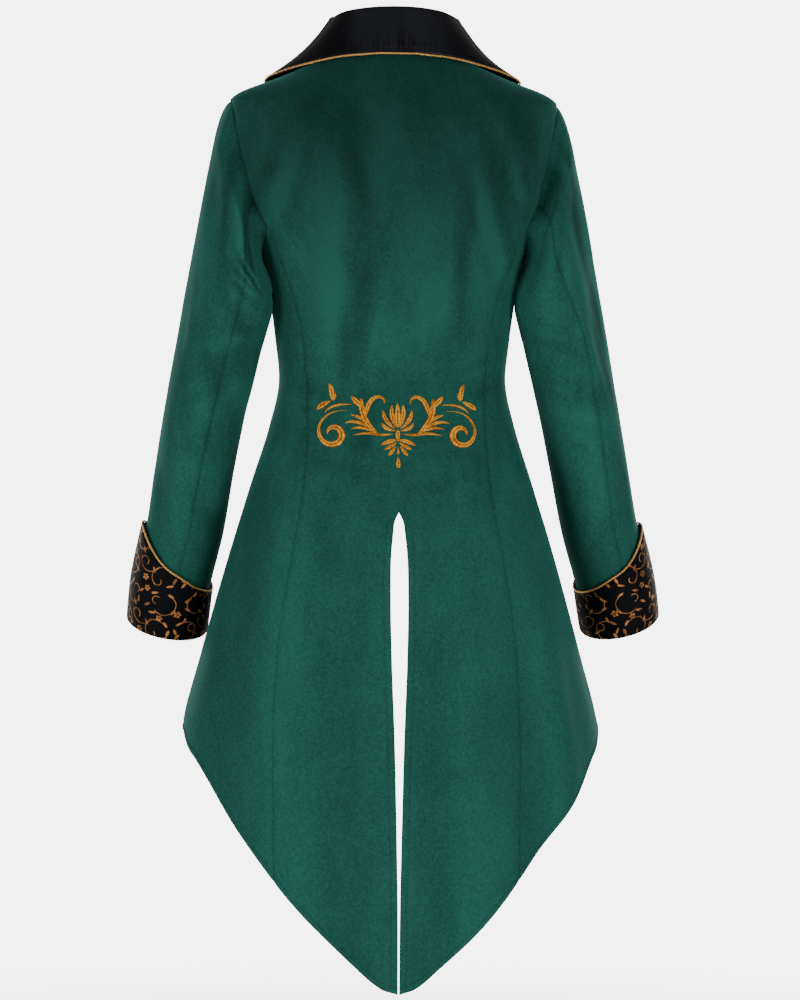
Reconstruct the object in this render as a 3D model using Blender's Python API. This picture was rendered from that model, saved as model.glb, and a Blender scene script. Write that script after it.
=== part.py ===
"""A worn, hollow tailcoat: velvet body cut away in front, two tails, shawl collar, turned-back cuffs.

Metres, +Z up, the front of the coat faces -Y and the wearer's left is +X.
The origin is the middle of the neck base, level with the neck ends of the shoulder seams.
Angles go round the body: centre back 0, side 90, centre front 180, + to the wearer's left.
Heights name the rings of the body: the true height up to the chest, and on to 0 at the neck seam.
"""

import math
from collections import namedtuple

import bmesh
import bpy
import numpy as np

CLOTH = 0.0020  # thickness of velvet and its backing as one wall
SEAM = 0.0003  # gap between two pieces at a seam
PIPING_RADIUS = 0.00175

SHOULDER = -0.070  # height of the ring through both shoulder points
ARM_JOIN = -0.205  # height where the back's curved seam meets the armhole
UNDERARM = -0.240
BREAK = -0.270  # height where the lapels end
MEET = -0.285  # height below which the fronts meet edge to edge
VENT_TOP = -0.531
FRONT_POINT = -0.722  # height of each front's lower end at its side seam
FRONT_TOP = -0.0016  # the front stops just short of the neck, under the collar

# Rings of the body: half width, depths behind and before the axis, heights at back, side and front.
Ring = namedtuple("Ring", "height half_width back front z_back z_side z_front squareness")
RINGS = (
    Ring(-1.100, 0.250, 0.158, 0.150, -1.100, -1.100, -1.100, 2.20),
    Ring(-0.930, 0.248, 0.158, 0.150, -0.930, -0.930, -0.930, 2.20),
    Ring(-0.780, 0.243, 0.155, 0.148, -0.780, -0.780, -0.780, 2.20),
    Ring(-0.690, 0.220, 0.150, 0.142, -0.690, -0.690, -0.690, 2.20),
    Ring(-0.600, 0.195, 0.141, 0.135, -0.600, -0.600, -0.600, 2.20),
    Ring(-0.500, 0.165, 0.120, 0.122, -0.500, -0.500, -0.500, 2.25),
    Ring(-0.430, 0.1430, 0.099, 0.110, -0.430, -0.430, -0.430, 2.30),
    Ring(-0.383, 0.1328, 0.088, 0.103, -0.383, -0.383, -0.383, 2.30),
    Ring(-0.330, 0.1370, 0.091, 0.108, -0.330, -0.330, -0.330, 2.30),
    Ring(-0.280, 0.1440, 0.098, 0.124, -0.280, -0.280, -0.280, 2.30),
    Ring(-0.235, 0.1530, 0.107, 0.130, -0.235, -0.235, -0.235, 2.35),
    Ring(-0.190, 0.1700, 0.113, 0.126, -0.196, -0.186, -0.200, 2.40),
    Ring(-0.150, 0.1830, 0.113, 0.118, -0.161, -0.142, -0.167, 2.50),
    Ring(-0.110, 0.1885, 0.107, 0.107, -0.128, -0.098, -0.138, 2.50),
    Ring(-0.070, 0.1910, 0.096, 0.092, -0.093, -0.0528, -0.110, 2.50),
    Ring(-0.030, 0.1300, 0.074, 0.074, -0.045, -0.0245, -0.085, 2.30),
    Ring(0.000, 0.0750, 0.050, 0.060, 0.010, 0.000, -0.065, 2.10),
)

# Where each long seam or edge lies, as its distance from the centre at a height.
AtHeight = namedtuple("AtHeight", "height across")
BACK_SEAM = (
    AtHeight(-1.000, 0.137),
    AtHeight(-0.870, 0.139),
    AtHeight(-0.780, 0.140),
    AtHeight(-0.700, 0.136),
    AtHeight(-0.620, 0.126),
    AtHeight(-0.550, 0.1145),
    AtHeight(-0.480, 0.1045),
    AtHeight(-0.420, 0.1020),
    AtHeight(-0.360, 0.1050),
    AtHeight(-0.310, 0.1120),
    AtHeight(-0.260, 0.1270),
    AtHeight(-0.205, 0.1500),
)
VENT_EDGE = (
    AtHeight(-1.100, 0.0010),
    AtHeight(-0.980, 0.0012),
    AtHeight(-0.880, 0.0030),
    AtHeight(-0.780, 0.0055),
    AtHeight(-0.700, 0.0085),
    AtHeight(-0.620, 0.0098),
    AtHeight(-0.580, 0.0090),
    AtHeight(-0.555, 0.0066),
    AtHeight(-0.540, 0.0044),
    AtHeight(-0.531, 0.0000),
)

# The hem of the tails, seen from behind: height of the edge at a distance from the centre.
HemPoint = namedtuple("HemPoint", "across height")
HEM = (
    HemPoint(0.0000, -1.0680),
    HemPoint(0.0045, -1.0665),
    HemPoint(0.0176, -1.0626),
    HemPoint(0.0266, -1.0570),
    HemPoint(0.0466, -1.0403),
    HemPoint(0.0832, -1.0055),
    HemPoint(0.1131, -0.9735),
    HemPoint(0.1397, -0.9415),
    HemPoint(0.1655, -0.9095),
    HemPoint(0.1890, -0.8778),
    HemPoint(0.2106, -0.8462),
    HemPoint(0.2290, -0.8148),
    HemPoint(0.2395, -0.7950),
    HemPoint(0.2435, -0.7780),
)

# Side seam, cutaway edge and armhole edges, by height: their angles, or the distance from the centre.
Turn = namedtuple("Turn", "height angle")
SIDE_SEAM = (Turn(-0.78, 96.0), Turn(-0.60, 95.0), Turn(-0.383, 93.0), Turn(-0.24, 92.0))
CUTAWAY = (
    Turn(-0.784, 86.0),
    Turn(-0.768, 88.5),
    Turn(-0.745, 93.0),
    Turn(-0.722, 97.0),
    Turn(-0.690, 102.0),
    Turn(-0.640, 111.5),
    Turn(-0.580, 125.0),
    Turn(-0.520, 141.5),
    Turn(-0.470, 157.0),
    Turn(-0.440, 167.0),
    Turn(-0.420, 173.5),
    Turn(-0.405, 178.0),
    Turn(-0.395, 180.0),
)
ARMHOLE_BACK = (
    AtHeight(-0.205, 0.1500),
    AtHeight(-0.180, 0.1630),
    AtHeight(-0.150, 0.1730),
    AtHeight(-0.120, 0.1805),
    AtHeight(-0.098, 0.1853),
    AtHeight(-0.080, 0.1885),
    AtHeight(-0.070, 0.1910),
)
ARMHOLE_FRONT = (
    Turn(-0.240, 92.0),
    Turn(-0.234, 99.5),
    Turn(-0.222, 107.0),
    Turn(-0.205, 112.0),
    Turn(-0.180, 114.5),
    Turn(-0.150, 113.5),
    Turn(-0.120, 109.0),
    Turn(-0.098, 103.0),
    Turn(-0.080, 96.0),
    Turn(-0.070, 90.0),
)

# Heights of the rows that neighbouring pieces share, so that their edges match along a seam.
SKIRT_ROWS = 13
WAIST_ROWS = (-0.531, -0.495, -0.460, -0.425, -0.395, -0.365, -0.335, -0.308, -0.285, -0.270)
CHEST_ROWS = (-0.240, -0.234, -0.222, -0.205)
ARM_ROWS = (-0.180, -0.150, -0.120, -0.098, -0.080, -0.070)
SHOULDER_ROWS = (-0.050, -0.030, -0.015)
FRONT_SKIRT_ROWS = 6
BACK_COLUMNS = 8
SIDE_COLUMNS = 5
FRONT_COLUMNS = 8

# Folds of the body: soft ridges (+) and troughs (-) along lines seen straight on, fading at their ends.
Fold = namedtuple("Fold", "face x0 z0 x1 z1 width depth")
BODY_FOLDS = (
    Fold("back", 0.046, -0.130, 0.041, -0.260, 0.012, -0.0032),
    Fold("back", 0.041, -0.220, 0.064, -0.390, 0.014, -0.0036),
    Fold("back", 0.018, -0.090, 0.007, -0.170, 0.012, -0.0022),
    Fold("back", -0.082, -0.130, -0.085, -0.330, 0.013, -0.0030),
    Fold("back", -0.098, -0.090, -0.134, -0.240, 0.012, -0.0032),
    Fold("back", -0.148, -0.110, -0.160, -0.200, 0.010, 0.0024),
    Fold("back", 0.119, -0.090, 0.153, -0.155, 0.011, -0.0030),
    Fold("back", 0.139, -0.190, 0.106, -0.260, 0.010, 0.0022),
    Fold("back", 0.058, -0.404, 0.126, -0.380, 0.010, -0.0020),
    Fold("back", -0.062, -0.400, -0.128, -0.372, 0.010, -0.0020),
    Fold("back", 0.168, -0.530, 0.212, -0.900, 0.026, -0.0085),
    Fold("back", 0.116, -0.560, 0.132, -1.150, 0.028, 0.0052),
    Fold("back", 0.060, -0.600, 0.062, -1.350, 0.026, -0.0046),
    Fold("back", -0.162, -0.560, -0.204, -0.930, 0.022, 0.0068),
    Fold("back", -0.146, -0.660, -0.166, -1.000, 0.022, -0.0058),
    Fold("back", -0.090, -0.560, -0.096, -1.250, 0.028, 0.0042),
    Fold("back", -0.045, -0.600, -0.048, -1.350, 0.022, -0.0036),
    Fold("front", 0.060, -0.256, 0.112, -0.220, 0.014, -0.0032),
    Fold("front", -0.058, -0.260, -0.116, -0.214, 0.014, -0.0030),
    Fold("front", 0.034, -0.366, 0.122, -0.388, 0.010, -0.0024),
    Fold("front", -0.030, -0.384, -0.122, -0.370, 0.010, -0.0026),
    Fold("front", 0.132, -0.470, 0.180, -0.720, 0.018, -0.0055),
    Fold("front", -0.128, -0.465, -0.176, -0.700, 0.018, -0.0050),
)

# Rings of a sleeve: outer and inner points seen from behind, depths, and the angle of each back seam.
SleeveRing = namedtuple(
    "SleeveRing",
    "along outer_x outer_z inner_x inner_z inner_y middle_y half_depth back_drop left_seam right_seam",
)
SLEEVE_RINGS = (
    SleeveRing(0.055, 0.2115, -0.107, 0.1525, -0.256, 0.015, -0.004, 0.066, 0.006, 108.0, 100.0),
    SleeveRing(0.120, 0.2250, -0.178, 0.1450, -0.278, 0.030, -0.004, 0.064, 0.006, 107.0, 93.0),
    SleeveRing(0.190, 0.2378, -0.248, 0.1415, -0.300, 0.032, -0.004, 0.062, 0.006, 105.0, 82.0),
    SleeveRing(0.260, 0.2500, -0.318, 0.1520, -0.338, 0.022, -0.005, 0.059, 0.006, 103.0, 70.0),
    SleeveRing(0.330, 0.2628, -0.388, 0.1700, -0.408, 0.010, -0.008, 0.056, 0.008, 101.0, 68.0),
    SleeveRing(0.400, 0.2752, -0.458, 0.1850, -0.478, 0.002, -0.016, 0.053, 0.011, 98.0, 70.0),
    SleeveRing(0.480, 0.2887, -0.536, 0.2003, -0.556, 0.000, -0.032, 0.050, 0.014, 95.0, 73.0),
    SleeveRing(0.560, 0.3060, -0.612, 0.2203, -0.632, 0.000, -0.050, 0.047, 0.015, 93.0, 75.0),
    SleeveRing(0.620, 0.3140, -0.668, 0.2278, -0.688, 0.000, -0.064, 0.046, 0.015, 93.0, 75.0),
)
SWAY = 0.14  # the sleeves come forward as they hang, and both lean to the wearer's right by this share of it
SLEEVE_END = 0.599
FRONT_SEAM = 246.0  # angle of the sleeve's forward seam, round from its outer side over its back
BACK_SEAM_AT = 5  # numbers of the armhole's points, from the shoulder, from which the sleeve's two seams run
FRONT_SEAM_AT = 14
SLEEVE_ROWS = 20
CAP_ROWS = 5
CAP_PULL = (0.045, 0.020)  # how far the sleeve runs straight out of the armhole, on top and at the underarm
CAP_LEAN = (0.35, 0.80)  # how much it leans outwards there
CAP_ARRIVE = (4.5, 2.5)  # and how strongly it then takes up the sleeve's own direction
SLEEVE_RADIUS = 0.050  # of a round sleeve, to turn angles on it into distances

# Folds of the sleeves: lines by angle round the sleeve and distance down it; side is +1 left, -1 right.
SleeveFold = namedtuple("SleeveFold", "side angle0 along0 angle1 along1 width depth")
SLEEVE_FOLDS = (
    SleeveFold(1, 40, 0.060, 62, 0.170, 0.013, -0.0032),
    SleeveFold(1, 78, 0.140, 120, 0.190, 0.012, -0.0030),
    SleeveFold(1, 60, 0.300, 160, 0.270, 0.014, -0.0045),
    SleeveFold(1, 75, 0.350, 170, 0.310, 0.013, 0.0030),
    SleeveFold(1, 30, 0.410, 45, 0.490, 0.012, -0.0026),
    SleeveFold(1, 90, 0.430, 150, 0.470, 0.012, -0.0028),
    SleeveFold(1, -60, 0.290, -150, 0.300, 0.016, -0.0055),
    SleeveFold(1, -70, 0.240, -160, 0.250, 0.014, 0.0030),
    SleeveFold(1, -40, 0.370, -120, 0.350, 0.014, -0.0035),
    SleeveFold(-1, 55, 0.070, 48, 0.180, 0.013, -0.0034),
    SleeveFold(-1, 48, 0.180, 28, 0.330, 0.013, -0.0032),
    SleeveFold(-1, 72, 0.110, 60, 0.260, 0.014, 0.0026),
    SleeveFold(-1, 50, 0.330, 150, 0.300, 0.014, -0.0036),
    SleeveFold(-1, 60, 0.450, 95, 0.490, 0.016, -0.0026),
    SleeveFold(-1, -55, 0.280, -150, 0.295, 0.016, -0.0052),
    SleeveFold(-1, -70, 0.225, -160, 0.240, 0.014, 0.0030),
    SleeveFold(-1, -45, 0.360, -125, 0.345, 0.014, -0.0036),
)

# The cuff's height above its turned edge, by angle round the sleeve.
CuffEdge = namedtuple("CuffEdge", "angle height")
CUFF_EDGE = (
    CuffEdge(0, 0.112),
    CuffEdge(20, 0.109),
    CuffEdge(40, 0.099),
    CuffEdge(57, 0.089),
    CuffEdge(76, 0.080),
    CuffEdge(92, 0.075),
    CuffEdge(125, 0.063),
    CuffEdge(150, 0.057),
    CuffEdge(180, 0.054),
)
CUFF_COLUMNS = 26
CUFF_ROWS = 5
CUFF_PROUD = 0.0059  # how far the cuff's face stands off the sleeve at its outer side
CUFF_CLOSE = 0.0038  # and at its inner side
CUFF_DROP = {1: 0.0070, -1: 0.0}  # how much lower the left and the right cuff end at their outer side
CUFF_BEYOND = 0.0050  # how far the cuff reaches past the sleeve's end
CUFF_FACE = 0.0060  # where the cuff's straight face starts, back from its end
CUFF_SWELL = 0.0008
# The cuff's turned edge: each row's distance back from the cuff's end, and out as a share of its stand-off.
CuffTurn = namedtuple("CuffTurn", "outer_back outer_out inner_back inner_out")
CUFF_TURNS = (
    CuffTurn(0.0012, -0.12, 0.0032, -0.12),
    CuffTurn(0.0006, 0.35, 0.0027, 0.26),
    CuffTurn(0.0020, 0.78, 0.0036, 0.42),
)

# The collar's fold, and its outer edge on the back, by angle from centre back.
CollarBack = namedtuple("CollarBack", "angle fold_out fold_z edge_angle edge_height sag")
COLLAR_BACK = (
    CollarBack(0.0, 0.0545, 0.0458, 0.0, -0.0080, 0.0000),
    CollarBack(30.0, 0.0575, 0.0452, 30.0, -0.0085, 0.0010),
    CollarBack(60.0, 0.0660, 0.0428, 62.0, -0.0140, 0.0040),
    CollarBack(90.0, 0.0725, 0.0395, 91.0, -0.0385, 0.0080),
)
# The lapel, down the roll line from the shoulder seam to its end at centre front, seen from the front.
Lapel = namedtuple("Lapel", "down stand edge_x edge_z")
LAPELS = (
    Lapel(0.00, 0.0390, 0.1450, -0.0385),
    Lapel(0.06, 0.0320, 0.1495, -0.0480),
    Lapel(0.14, 0.0200, 0.1530, -0.0680),
    Lapel(0.25, 0.0100, 0.1505, -0.1060),
    Lapel(0.45, 0.0050, 0.1330, -0.166),
    Lapel(0.65, 0.0040, 0.1050, -0.218),
    Lapel(0.85, 0.0036, 0.0560, -0.262),
    Lapel(1.00, 0.0030, 0.0140, -0.286),
)
ROLL_ACROSS = 0.0705  # distance of the roll line from the centre at the neck
ROLL_END_ACROSS = 0.0090  # and at its lower end
FOLD_RADIUS = 0.0034
COLLAR_LIFT = 0.0052  # how far the collar's face lies off the body at its edge
FALL_ROWS = 5
STAND_SHARE = 0.22  # share of the roll line, from the shoulder, along which the stand lies down
SIDE_SAG = 0.0080  # how far the collar's fall hangs in below a straight line at the shoulder
STAND_UP = (-0.25, 0.10, 1.0)  # direction of the stand at the side of the neck
STAND_OUT = (1.0, -0.15, 0.0)  # and the way the collar falls over there
STAND_LEAN = 0.0012

MATERIALS = {
    "velvet": ((0.004, 0.085, 0.052, 1.0), 0.85),
    "satin": ((0.006, 0.006, 0.008, 1.0), 0.35),
    "brocade": ((0.016, 0.012, 0.010, 1.0), 0.55),
    "gold_cord": ((0.55, 0.33, 0.10, 1.0), 0.45),
}


def clear_scene():
    for item in list(bpy.data.objects):
        bpy.data.objects.remove(item, do_unlink=True)


def curve_through(rows, at):
    """Values of a table's other columns at positions of its first, on a smooth curve through its rows."""
    table = np.array(rows, float)
    table = table[np.argsort(table[:, 0])]
    x, y = table[:, 0], table[:, 1:]
    slope = np.gradient(y, x, axis=0)
    at = np.clip(np.asarray(at, float), x[0], x[-1])
    left = np.clip(np.searchsorted(x, at, side="right") - 1, 0, len(x) - 2)
    span = x[left + 1] - x[left]
    t = ((at - x[left]) / span)[..., None]
    span = span[..., None]
    start, end = 2 * t**3 - 3 * t**2 + 1, 3 * t**2 - 2 * t**3
    lead, trail = t**3 - 2 * t**2 + t, t**3 - t**2
    found = start * y[left] + end * y[left + 1] + span * (lead * slope[left] + trail * slope[left + 1])
    return found[..., 0] if found.shape[-1] == 1 else found


def unit(vector):
    return vector / np.maximum(np.linalg.norm(vector, axis=-1, keepdims=True), 1e-12)


def smooth_body(angle, height):
    """The body before its folds: rings from the table, each a rounded section seen from above."""
    angle, height = np.broadcast_arrays(np.asarray(angle, float), np.asarray(height, float))
    half, back, front, z_back, z_side, z_front, square = np.moveaxis(curve_through(RINGS, height), -1, 0)
    turn = np.radians(angle)
    across, away = np.sin(turn), np.cos(turn)
    behind = away >= 0
    depth = np.where(behind, back, front)
    reach = (np.abs(across / half) ** square + np.abs(away / depth) ** square) ** (-1 / square)
    level = z_side + (np.where(behind, z_back, z_front) - z_side) * away**2
    return np.stack([reach * across, reach * away, level], axis=-1)


def fold_push(point, folds, face_of):
    """How far soft ridges and troughs push a face out, from distances to their lines seen straight on."""
    seen = point[..., [0, 2]]
    push = np.zeros(seen.shape[:-1])
    for fold in folds:
        start, line = np.array([fold.x0, fold.z0]), np.array([fold.x1 - fold.x0, fold.z1 - fold.z0])
        part = np.clip((seen - start) @ line / (line @ line), 0, 1)
        off = np.linalg.norm(seen - start - part[..., None] * line, axis=-1)
        side = 1 if fold.face == "back" else -1
        weight = np.clip(face_of * side * 6, 0, 1)
        push += fold.depth * np.exp(-((off / fold.width) ** 2)) * weight * faded(part)
    return push


def faded(part):
    """Strength of a fold along its line, from its start (0) to its end (1)."""
    return np.sin(np.pi * np.clip(part, 0.03, 0.97)) ** 0.7


def body_face(angle, height):
    """The body's outer face with its folds."""
    point = smooth_body(angle, height)
    turn, rise = 0.5, 0.002
    along = smooth_body(np.asarray(angle) + turn, height) - smooth_body(np.asarray(angle) - turn, height)
    up = smooth_body(angle, np.asarray(height) + rise) - smooth_body(angle, np.asarray(height) - rise)
    outward = unit(np.cross(up, along))
    push = fold_push(point, BODY_FOLDS, np.cos(np.radians(np.broadcast_to(angle, point.shape[:-1]))))
    return point + outward * push[..., None]


def body_normal(angle, height):
    turn, rise = 0.5, 0.002
    along = body_face(np.asarray(angle) + turn, height) - body_face(np.asarray(angle) - turn, height)
    up = body_face(angle, np.asarray(height) + rise) - body_face(angle, np.asarray(height) - rise)
    return unit(np.cross(up, along))


def body(angle, height, out=0.0):
    """A point of the body's outer face, moved out along its normal."""
    return body_face(angle, height) + body_normal(angle, height) * np.asarray(out)[..., None]


def angle_across(across, height, front=False):
    """The angle on one side of the body at which a ring is this far from the centre line."""
    across, height = np.broadcast_arrays(np.asarray(across, float), np.asarray(height, float))
    low, high = np.zeros(across.shape), np.full(across.shape, 90.0)
    for _ in range(26):
        middle = (low + high) / 2
        angle = 180 - middle if front else middle
        short = smooth_body(angle, height)[..., 0] < across
        low, high = np.where(short, middle, low), np.where(short, high, middle)
    return 180 - low if front else low


def front_place(across, level):
    """Angle and height of the front's point seen at this distance from the centre and this level."""
    height = np.asarray(level, float)
    for _ in range(14):
        angle = angle_across(across, height, front=True)
        height = np.minimum(height + 0.8 * (level - smooth_body(angle, height)[..., 2]), -0.002)
    return angle_across(across, height, front=True), height


def seam_turn(angle, height, gap=SEAM / 2):
    """Half a seam's gap as an angle at this place."""
    point = smooth_body(angle, height)
    return np.degrees(gap / np.hypot(point[..., 0], point[..., 1]))


def back_edge(height):
    """Angle of the back's outer edge: its curved seam, then the armhole, then the shoulder seam."""
    height = np.asarray(height, float)
    seam = angle_across(curve_through(BACK_SEAM, height), np.minimum(height, ARM_JOIN))
    seam = seam - seam_turn(seam, height)
    arm = angle_across(curve_through(ARMHOLE_BACK, height), height)
    shoulder = 90 - seam_turn(90.0, height)
    edge = np.where(height < ARM_JOIN + 1e-9, seam, arm)
    return np.where(height > SHOULDER - 1e-9, shoulder, edge)


def front_arm_edge(height):
    """Angle of the front's outer edge: side seam, then armhole, then shoulder seam."""
    height = np.asarray(height, float)
    side = curve_through(SIDE_SEAM, height)
    side = side + seam_turn(side, height)
    arm = curve_through(ARMHOLE_FRONT, height)
    shoulder = 90 + seam_turn(90.0, height)
    edge = np.where(height < UNDERARM + 1e-9, side, arm)
    return np.where(height > SHOULDER - 1e-9, shoulder, edge)


def front_inner_edge(height):
    """Angle of the front's free edge: cutaway, centre front, then the roll line up to the neck."""
    height = np.asarray(height, float)
    cut = curve_through(CUTAWAY, height)
    centre = 180 - seam_turn(180.0, height, SEAM)
    across = np.interp(height, [MEET, BREAK, 0.0], [0.0, ROLL_END_ACROSS, ROLL_ACROSS])
    roll = angle_across(across, height, front=True)
    edge = np.minimum(cut, centre)
    return np.where(height > MEET + 1e-9, np.minimum(roll, centre), edge)


def skirt_parts():
    """How far up from the hem each row of the tails lies: rows are closer near the top of the slit."""
    return 1 - (1 - np.linspace(0, 1, SKIRT_ROWS + 1)[:, None]) ** 1.35


def hem_height(edge_angle, low, high):
    """Height at which each column, an angle by height, meets the hem."""
    low, high = np.array(low, float), np.array(high, float)
    for _ in range(50):
        middle = (low + high) / 2
        point = smooth_body(edge_angle(middle), middle)
        under = point[..., 2] < curve_through(HEM, np.abs(point[..., 0]))
        low, high = np.where(under, middle, low), np.where(under, high, middle)
    return (low + high) / 2


def solid(name, sheets, material, collection):
    """One closed body from sheets of outer and inner points; sheets join where their points agree."""
    numbers, outer_points, inner_points, faces = {}, [], [], set()
    for outer, inner in sheets:
        rows, columns = outer.shape[:2]
        index = np.empty((rows, columns), int)
        for row in range(rows):
            for column in range(columns):
                key = tuple(np.round(outer[row, column], 6))
                if key not in numbers:
                    numbers[key] = len(outer_points)
                    outer_points.append(outer[row, column])
                    inner_points.append(inner[row, column])
                index[row, column] = numbers[key]
        for row in range(rows - 1):
            for column in range(columns - 1):
                corners = (
                    index[row, column],
                    index[row, column + 1],
                    index[row + 1, column + 1],
                    index[row + 1, column],
                )
                corners = tuple(int(c) for i, c in enumerate(corners) if c != corners[i - 1])
                if len(corners) > 2:
                    faces.add(corners)
    edges = {}
    for face in faces:
        for i, end in enumerate(face):
            pair = (face[i - 1], end)
            edges.setdefault(tuple(sorted(pair)), []).append(pair)
    rim = [pairs[0] for pairs in edges.values() if len(pairs) == 1]
    count = len(outer_points)
    mesh = bmesh.new()
    points = [mesh.verts.new(point) for point in outer_points + inner_points]
    for face in sorted(faces):
        mesh.faces.new([points[i] for i in face])
        mesh.faces.new([points[count + i] for i in reversed(face)])
    for a, b in sorted(rim):
        mesh.faces.new([points[b], points[a], points[count + a], points[count + b]])
    bmesh.ops.recalc_face_normals(mesh, faces=mesh.faces)
    bmesh.ops.triangulate(mesh, faces=mesh.faces, quad_method="BEAUTY")
    data = bpy.data.meshes.new(name)
    mesh.to_mesh(data)
    mesh.free()
    data.materials.append(material)
    item = bpy.data.objects.new(name, data)
    collection.objects.link(item)
    return item


def cord(name, points, closed, material, collection):
    """Piping: a round cord through points."""
    curve = bpy.data.curves.new(name, "CURVE")
    curve.dimensions = "3D"
    curve.bevel_depth = PIPING_RADIUS
    curve.bevel_resolution = 2
    curve.use_fill_caps = True
    spline = curve.splines.new("POLY")
    spline.points.add(len(points) - 1)
    for target, point in zip(spline.points, points):
        target.co = (*point, 1.0)
    spline.use_cyclic_u = closed
    curve.materials.append(material)
    item = bpy.data.objects.new(name, curve)
    collection.objects.link(item)
    return item


def wall_of(angle, height):
    """Outer and inner grids of a piece of the body at angles and heights."""
    return body(angle, height, np.zeros(angle.shape)), body(angle, height, np.full(angle.shape, -CLOTH))


def back_sheets():
    """The back, cut in one with a slit between its tails."""
    part = np.linspace(0, 1, BACK_COLUMNS + 1)

    def column_angle(height):
        vent = angle_across(curve_through(VENT_EDGE, height), height)
        vent = np.where(height > VENT_TOP - 1e-9, 0.0, vent)
        return vent + (back_edge(height) - vent) * part

    hem = hem_height(column_angle, np.full(part.shape, -1.099), np.full(part.shape, -0.70))
    low = hem + (VENT_TOP - hem) * skirt_parts()
    upper = np.array(WAIST_ROWS[1:] + CHEST_ROWS + ARM_ROWS + SHOULDER_ROWS + (0.0,))
    height = np.concatenate([low, np.repeat(upper[:, None], len(part), 1)])
    angle = np.array([column_angle(row) for row in height])
    return [wall_of(angle * side, height) for side in (1, -1)]


def side_sheets(side):
    """One side back, from the curved seam to the side seam, from the armhole to the tail's corner."""
    part = np.linspace(0, 1, SIDE_COLUMNS + 1)

    def outer_edge(height):
        seam = curve_through(SIDE_SEAM, height)
        return np.minimum(seam - seam_turn(seam, height), curve_through(CUTAWAY, height))

    def column_angle(height):
        seam = angle_across(curve_through(BACK_SEAM, height), height)
        seam = seam + seam_turn(seam, height)
        return seam + (outer_edge(height) - seam) * part

    hem = hem_height(column_angle, np.full(part.shape, -1.05), np.full(part.shape, -0.72))
    low = hem + (VENT_TOP - hem) * skirt_parts()
    middle = np.repeat(np.array(WAIST_ROWS[1:])[:, None], len(part), 1)
    arm = armhole_side_heights()
    top = WAIST_ROWS[-1] + (arm - WAIST_ROWS[-1]) * np.array([0.5, 1.0])[:, None]
    top[0, 0], top[1, 0] = CHEST_ROWS[0], ARM_JOIN
    between = top[0] + (top[1] - top[0]) * 0.5
    between[0] = CHEST_ROWS[2]
    height = np.concatenate([low, middle, [top[0], between, top[1]]])
    angle = np.array([column_angle(row) for row in height])
    return [wall_of(angle * side, height)]


def armhole_side_heights():
    """Heights of the armhole at the side back's columns: a rounded dip down to the underarm."""
    part = np.linspace(0, 1, SIDE_COLUMNS + 1)
    return UNDERARM + (ARM_JOIN - UNDERARM) * (1 - part) ** 2.2


def front_sheets(side):
    """One front, from the shoulder down to its cutaway edge."""
    part = np.linspace(0, 1, FRONT_COLUMNS + 1)
    skirt = np.linspace(FRONT_POINT, VENT_TOP, FRONT_SKIRT_ROWS + 1)
    rows = np.concatenate([skirt, WAIST_ROWS[1:], CHEST_ROWS, ARM_ROWS, SHOULDER_ROWS, [FRONT_TOP]])
    start, end = front_arm_edge(rows)[:, None], front_inner_edge(rows)[:, None]
    side_angle = curve_through(SIDE_SEAM, np.minimum(rows, UNDERARM))[:, None]
    shift = np.where(rows[:, None] > UNDERARM, start - side_angle, 0)
    angle = start - shift + (end - start + shift) * part + shift * (1 - part) ** 1.7
    return [wall_of(angle * side, np.repeat(rows[:, None], len(part), 1))]


def armhole_ring():
    """Angles and heights of the left armhole's points: shoulder, back, underarm, front."""
    back = [h for h in reversed(ARM_ROWS)]
    places = [(float(angle_across(curve_through(ARMHOLE_BACK, h), h)), h) for h in back]
    part = np.linspace(0, 1, SIDE_COLUMNS + 1)
    heights = armhole_side_heights()
    seam = angle_across(curve_through(BACK_SEAM, heights), heights)
    edge = curve_through(SIDE_SEAM, heights)
    places += [(s + (e - s) * p, h) for s, e, p, h in zip(seam, edge, part, heights)]
    front = CHEST_ROWS[1:] + ARM_ROWS[:-1]
    places += [(float(curve_through(ARMHOLE_FRONT, h)), h) for h in front]
    angle, height = np.array(places).T
    return angle, height


def sleeve_turns(ring, seam_angle):
    """Angle round the sleeve of each armhole point, with the seams and the underarm held in place."""
    count = len(ring)
    under = len(ARM_ROWS) + SIDE_COLUMNS
    stops = {0: 0.0, BACK_SEAM_AT: seam_angle, under: 180.0, FRONT_SEAM_AT: FRONT_SEAM, count: 360.0}
    length = np.concatenate([[0], np.cumsum(np.linalg.norm(np.roll(ring, -1, 0) - ring, axis=1))])
    places = sorted(stops)
    return np.interp(length[:-1], length[places], [stops[p] for p in places])


def sleeve_section(turn, along, side):
    """Points of a sleeve before its folds, as a left one, at angles round it and a distance down it."""
    columns = np.moveaxis(curve_through(SLEEVE_RINGS, along), -1, 0)
    outer_x, outer_z, inner_x, inner_z, inner_y, middle_y, half_depth, back_drop = columns[:8]
    turn = np.radians(turn)
    x = (outer_x + inner_x) / 2 + np.cos(turn) * (outer_x - inner_x) / 2 + side * SWAY * middle_y
    y = middle_y + np.sin(turn) * half_depth + inner_y * (1 - np.cos(turn)) / 2
    z = (outer_z + inner_z) / 2 + np.cos(turn) * (outer_z - inner_z) / 2 - np.sin(turn) * back_drop
    return np.stack(np.broadcast_arrays(x, y, z), axis=-1)


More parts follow.
